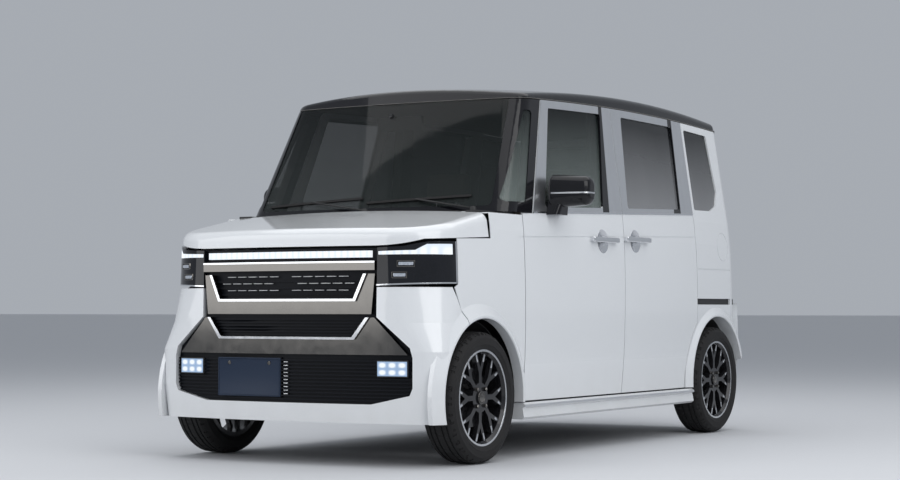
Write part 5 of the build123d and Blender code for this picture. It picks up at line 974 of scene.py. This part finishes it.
FITTINGS = (
    # name, size, place across and up, border, dish, finish
    ("centre_screen", (0.240, 0.022, 0.150), (0.0, 0.950), 0.007, 0.003, display),
    ("cluster", (0.270, 0.030, 0.080), (-0.320, 0.990), 0.008, 0.012, display),
    ("heater_panel", (0.210, 0.014, 0.075), (0.0, 0.805), 0.006, 0.004, gloss_black),
    ("glove_box", (0.340, 0.012, 0.150), (0.330, 0.790), 0.004, 0.002, grained_trim),
)
for name, size, (x, z), border, dish, finish in FITTINGS:
    fit(put(tray(size, border, dish), at((x, DASH_FACE, z), math.pi)), name, "body", finish)
for number, x in enumerate(VENT_PLACES, 1):
    vent = [put(tray(VENT_SIZE, VENT_RIM, VENT_DISH), at((x, DASH_FACE, VENT_Z), math.pi))]
    for row in (-1.0, 0.0, 1.0):
        place = (x, DASH_FACE + SLAT_OUT, VENT_Z + SLAT_PITCH * row)
        vent.append(block(SLAT_SIZE, place, SLAT_EDGE, SLAT_TURN, 1))
    fit(joined(vent), f"vent_{number}", "body", grained_trim)
view_glass = put(tray(VIEW_SIZE, VIEW_RIM, VIEW_DISH), at(VIEW_PLACE, math.pi))
stalk = strut(STALK_FOOT, STALK_HEAD, STALK_WIDE, STALK_THICK)
fit(joined([view_glass, stalk]), "view_mirror", "body", gloss_black)

# Engine cover: a ribbed black moulding pressed onto studs on top of the engine.
# The oil filler's screw cap stands beside it.
COVER_SIZE, COVER_EDGE = (0.420, 0.280, 0.040), 0.012
COVER_X, COVER_Y, COVER_RISE = 0.050, -1.240, 0.018
RIB_SIZE, RIB_EDGE = (0.360, 0.012, 0.010), 0.003
RIB_PITCH, RIB_REACH, RIB_RISE = 0.034, 3, 0.040
FILLER_X, FILLER_Y, FILLER_SINK, FILLER_SEGMENTS = -0.215, -1.180, 0.002, 10
FILLER_ROWS = [(0.0005, 0.034), (0.022, 0.034), (0.026, 0.030), (0.026, 0.012), (0.018, 0.010), (0.018, 0.0),
               (0.0005, 0.0)]
engine_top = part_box("engine")[1][2]
cover = [block(COVER_SIZE, (COVER_X, COVER_Y, engine_top + COVER_RISE), COVER_EDGE, segments=3)]
for row in range(-RIB_REACH, RIB_REACH + 1):
    cover.append(block(RIB_SIZE, (COVER_X, COVER_Y + RIB_PITCH * row, engine_top + RIB_RISE), RIB_EDGE))
filler = turned(FILLER_ROWS, FILLER_SEGMENTS)
cover.append(put(filler, at((FILLER_X, FILLER_Y, engine_top - FILLER_SINK))))
fit(joined(cover), "engine_cover", "body", moulded_black)

# Seats: woven cloth sewn in channels over foam, on moulded bases that slide on rails.
# Each pad is blown up as cloth from a slightly smaller form, held along its seams and where it rests.
PAD_VOXEL, PAD_SHRINK, PAD_RISE, PAD_FRAMES, PAD_PRESSURE = 0.011, 0.012, 0.022, 20, 4.0
PAD_ROUNDING, PAD_CREASE, REST_DEPTH, SEAM_HALF, SEAM_SINK = 0.38, 60.0, 0.02, 0.006, 0.006
# Pads: name, size, seams across, place on the left, turn up from flat
FRONT_PADS = (
    ("seat_cushion", (0.450, 0.430, 0.130), (-0.135, 0.135), (0.305, -0.235, 0.612), 4.0),
    ("seat_back", (0.440, 0.520, 0.105), (-0.130, 0.130), (0.305, 0.095, 0.915), 75.0),
    ("seat_headrest", (0.255, 0.160, 0.085), (), (0.305, 0.195, 1.280), 82.0),
)
BENCH_PADS = (
    ("bench_cushion", (0.515, 0.430, 0.115), (-0.160, 0.160), (0.260, 0.640, 0.634), -2.0),
    ("bench_back", (0.510, 0.510, 0.105), (-0.155, 0.155), (0.260, 0.925, 0.925), 74.0),
)
SEAT_BASE = (
    # size, place on the left, rounding, its segments: the box, two rails and the tilt lever
    ((0.400, 0.440, 0.230), (0.305, -0.225, 0.420), 0.030, 3),
    ((0.045, 0.470, 0.060), (0.145, -0.215, 0.277), 0.006, 2),
    ((0.045, 0.470, 0.060), (0.465, -0.215, 0.277), 0.006, 2),
    ((0.030, 0.200, 0.110), (0.083, 0.000, 0.600), 0.014, 3),
)
ROD_PLACES, ROD_WIDE, ROD_EDGE = (0.245, 0.365), 0.011, 0.004
ROD_FOOT, ROD_HEAD = (0.170, 1.150), (0.188, 1.225)
BENCH_BASE_SIZE, BENCH_BASE_PLACE = (0.470, 0.300, 0.330), (0.260, 0.710, 0.412)
BENCH_BASE_EDGE = 0.030
seat_cloth = woven("seat_cloth", (0.085, 0.075, 0.065), (0.17, 0.15, 0.13), 1900.0)


def blow_up(obj, held):
    """Presses a pad's cover out as cloth, with the held points fixed and the others' moves capped."""
    start = [vertex.co.copy() for vertex in obj.data.vertices]
    only(obj)
    cloth = obj.modifiers.new("cloth", "CLOTH")
    cloth.settings.use_pressure = True
    cloth.settings.uniform_pressure_force = PAD_PRESSURE
    cloth.settings.effector_weights.gravity = 0.0
    cloth.settings.vertex_group_mass = held.name
    cloth.point_cache.frame_end = PAD_FRAMES
    for step in range(1, PAD_FRAMES + 1):
        bpy.context.scene.frame_set(step)
    bpy.ops.object.modifier_apply(modifier=cloth.name)
    bpy.context.scene.frame_set(1)
    for vertex, place in zip(obj.data.vertices, start):
        move = vertex.co - place
        if move.length > PAD_RISE:
            vertex.co = place + move * (PAD_RISE / move.length)


def pad(size, seams):
    """A stuffed pad lying flat, sitting side up, sewn down along lines at places across it."""
    wide, deep, thick = (side - PAD_SHRINK for side in size)
    obj = block((wide, deep, thick), AT_ORIGIN, PAD_ROUNDING * thick, segments=4)
    modify(obj, "REMESH", mode="VOXEL", voxel_size=PAD_VOXEL)
    held = obj.vertex_groups.new(name="held")
    for vertex in obj.data.vertices:
        place = vertex.co
        sewn = place.z > 0.0 and any(abs(place.x - seam) < SEAM_HALF for seam in seams)
        if sewn:
            place.z -= SEAM_SINK
        if sewn or place.z < REST_DEPTH - thick / 2:
            held.add([vertex.index], 1.0, "REPLACE")
    blow_up(obj, held)
    modify(obj, "SMOOTH", factor=0.5, iterations=2)
    return obj


def upholster(rows, side, sign, node):
    """Sets out the pads on one side, in place of a node."""
    for name, size, seams, place, turn in rows:
        stand = at(beside(sign, place), math.radians(turn), "X")
        piece = fit(copied(pads[name], stand), name + "_" + side, "body", seat_cloth, PAD_CREASE)
        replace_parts(piece, node)


pads = {name: pad(size, seams) for name, size, seams, place, turn in FRONT_PADS + BENCH_PADS}
for side, sign in SIDES:
    upholster(FRONT_PADS, side, sign, "front_seats")
    base = []
    for size, place, edge, segments in SEAT_BASE:
        base.append(block(size, beside(sign, place), edge, segments=segments))
    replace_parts(fit(joined(base), "seat_base_" + side, "body", grained_trim), "front_seats")
    rods = []
    for x in ROD_PLACES:
        rods.append(strut((sign * x, *ROD_FOOT), (sign * x, *ROD_HEAD), ROD_WIDE, ROD_WIDE, ROD_EDGE))
    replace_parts(fit(joined(rods), "headrest_rods_" + side, "body", chrome), "front_seats")
    upholster(BENCH_PADS, side, sign, "rear_seat")
    bench_base = block(BENCH_BASE_SIZE, beside(sign, BENCH_BASE_PLACE), BENCH_BASE_EDGE, segments=3)
    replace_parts(fit(bench_base, "bench_base_" + side, "body", grained_trim), "rear_seat")
for model in pads.values():
    bpy.data.objects.remove(model)

# Studio: a plain pale floor under three soft lamps and an even sky.
# The camera stands where the photograph was taken from, and sees as far across.
FLOOR_SIZE = 400.0
SKY_COLOUR, SKY_STRENGTH = (0.62, 0.66, 0.72, 1.0), 0.62
CAR_MIDDLE = Vector((0.0, 0.0, 0.85))
LAMP_ROWS = (
    # name, place, size, watts
    ("key", (6.5, -3.0, 4.4), 6.0, 250.0),
    ("fill", (-4.0, -7.0, 3.4), 6.0, 190.0),
    ("top", (0.0, 0.5, 7.0), 10.0, 330.0),
)
CAMERA_PLACE, CAMERA_YAW, CAMERA_PITCH, CAMERA_FOCAL = (4.850, -8.500, 0.655), 30.62, 2.03, 1962.0
IMAGE_WIDTH, SENSOR_WIDTH = 900.0, 36.0
shade = Shade("studio_floor")
floor_grain = grain(shade, 40.0, 6.0)
studio_floor = shade.finish(Base_Color=two_tone(shade, floor_grain, (0.58, 0.59, 0.61), (0.62, 0.63, 0.65)),
                            Roughness=0.55 + 0.2 * floor_grain)
bpy.ops.mesh.primitive_plane_add(size=FLOOR_SIZE)
floor = bpy.context.object
floor.name = "floor"
floor.data.materials.append(studio_floor)
world = bpy.data.worlds.new("studio")
bpy.context.scene.world = world
world.use_nodes = True
sky = world.node_tree.nodes["Background"]
sky.inputs["Color"].default_value = SKY_COLOUR
sky.inputs["Strength"].default_value = SKY_STRENGTH
for name, place, size, watts in LAMP_ROWS:
    light = bpy.data.lights.new(name, "AREA")
    light.size = size
    light.energy = watts
    lamp = bpy.data.objects.new(name, light)
    bpy.context.collection.objects.link(lamp)
    lamp.location = place
    lamp.rotation_euler = (CAR_MIDDLE - lamp.location).to_track_quat("-Z", "Y").to_euler()
camera = bpy.data.objects.new("camera", bpy.data.cameras.new("camera"))
bpy.context.collection.objects.link(camera)
camera.location = CAMERA_PLACE
camera.rotation_euler = (math.radians(90.0 + CAMERA_PITCH), 0.0, math.radians(CAMERA_YAW))
camera.data.sensor_width = SENSOR_WIDTH
camera.data.lens = CAMERA_FOCAL * SENSOR_WIDTH / IMAGE_WIDTH
bpy.context.scene.camera = camera
bpy.context.scene.view_settings.view_transform = "Standard"
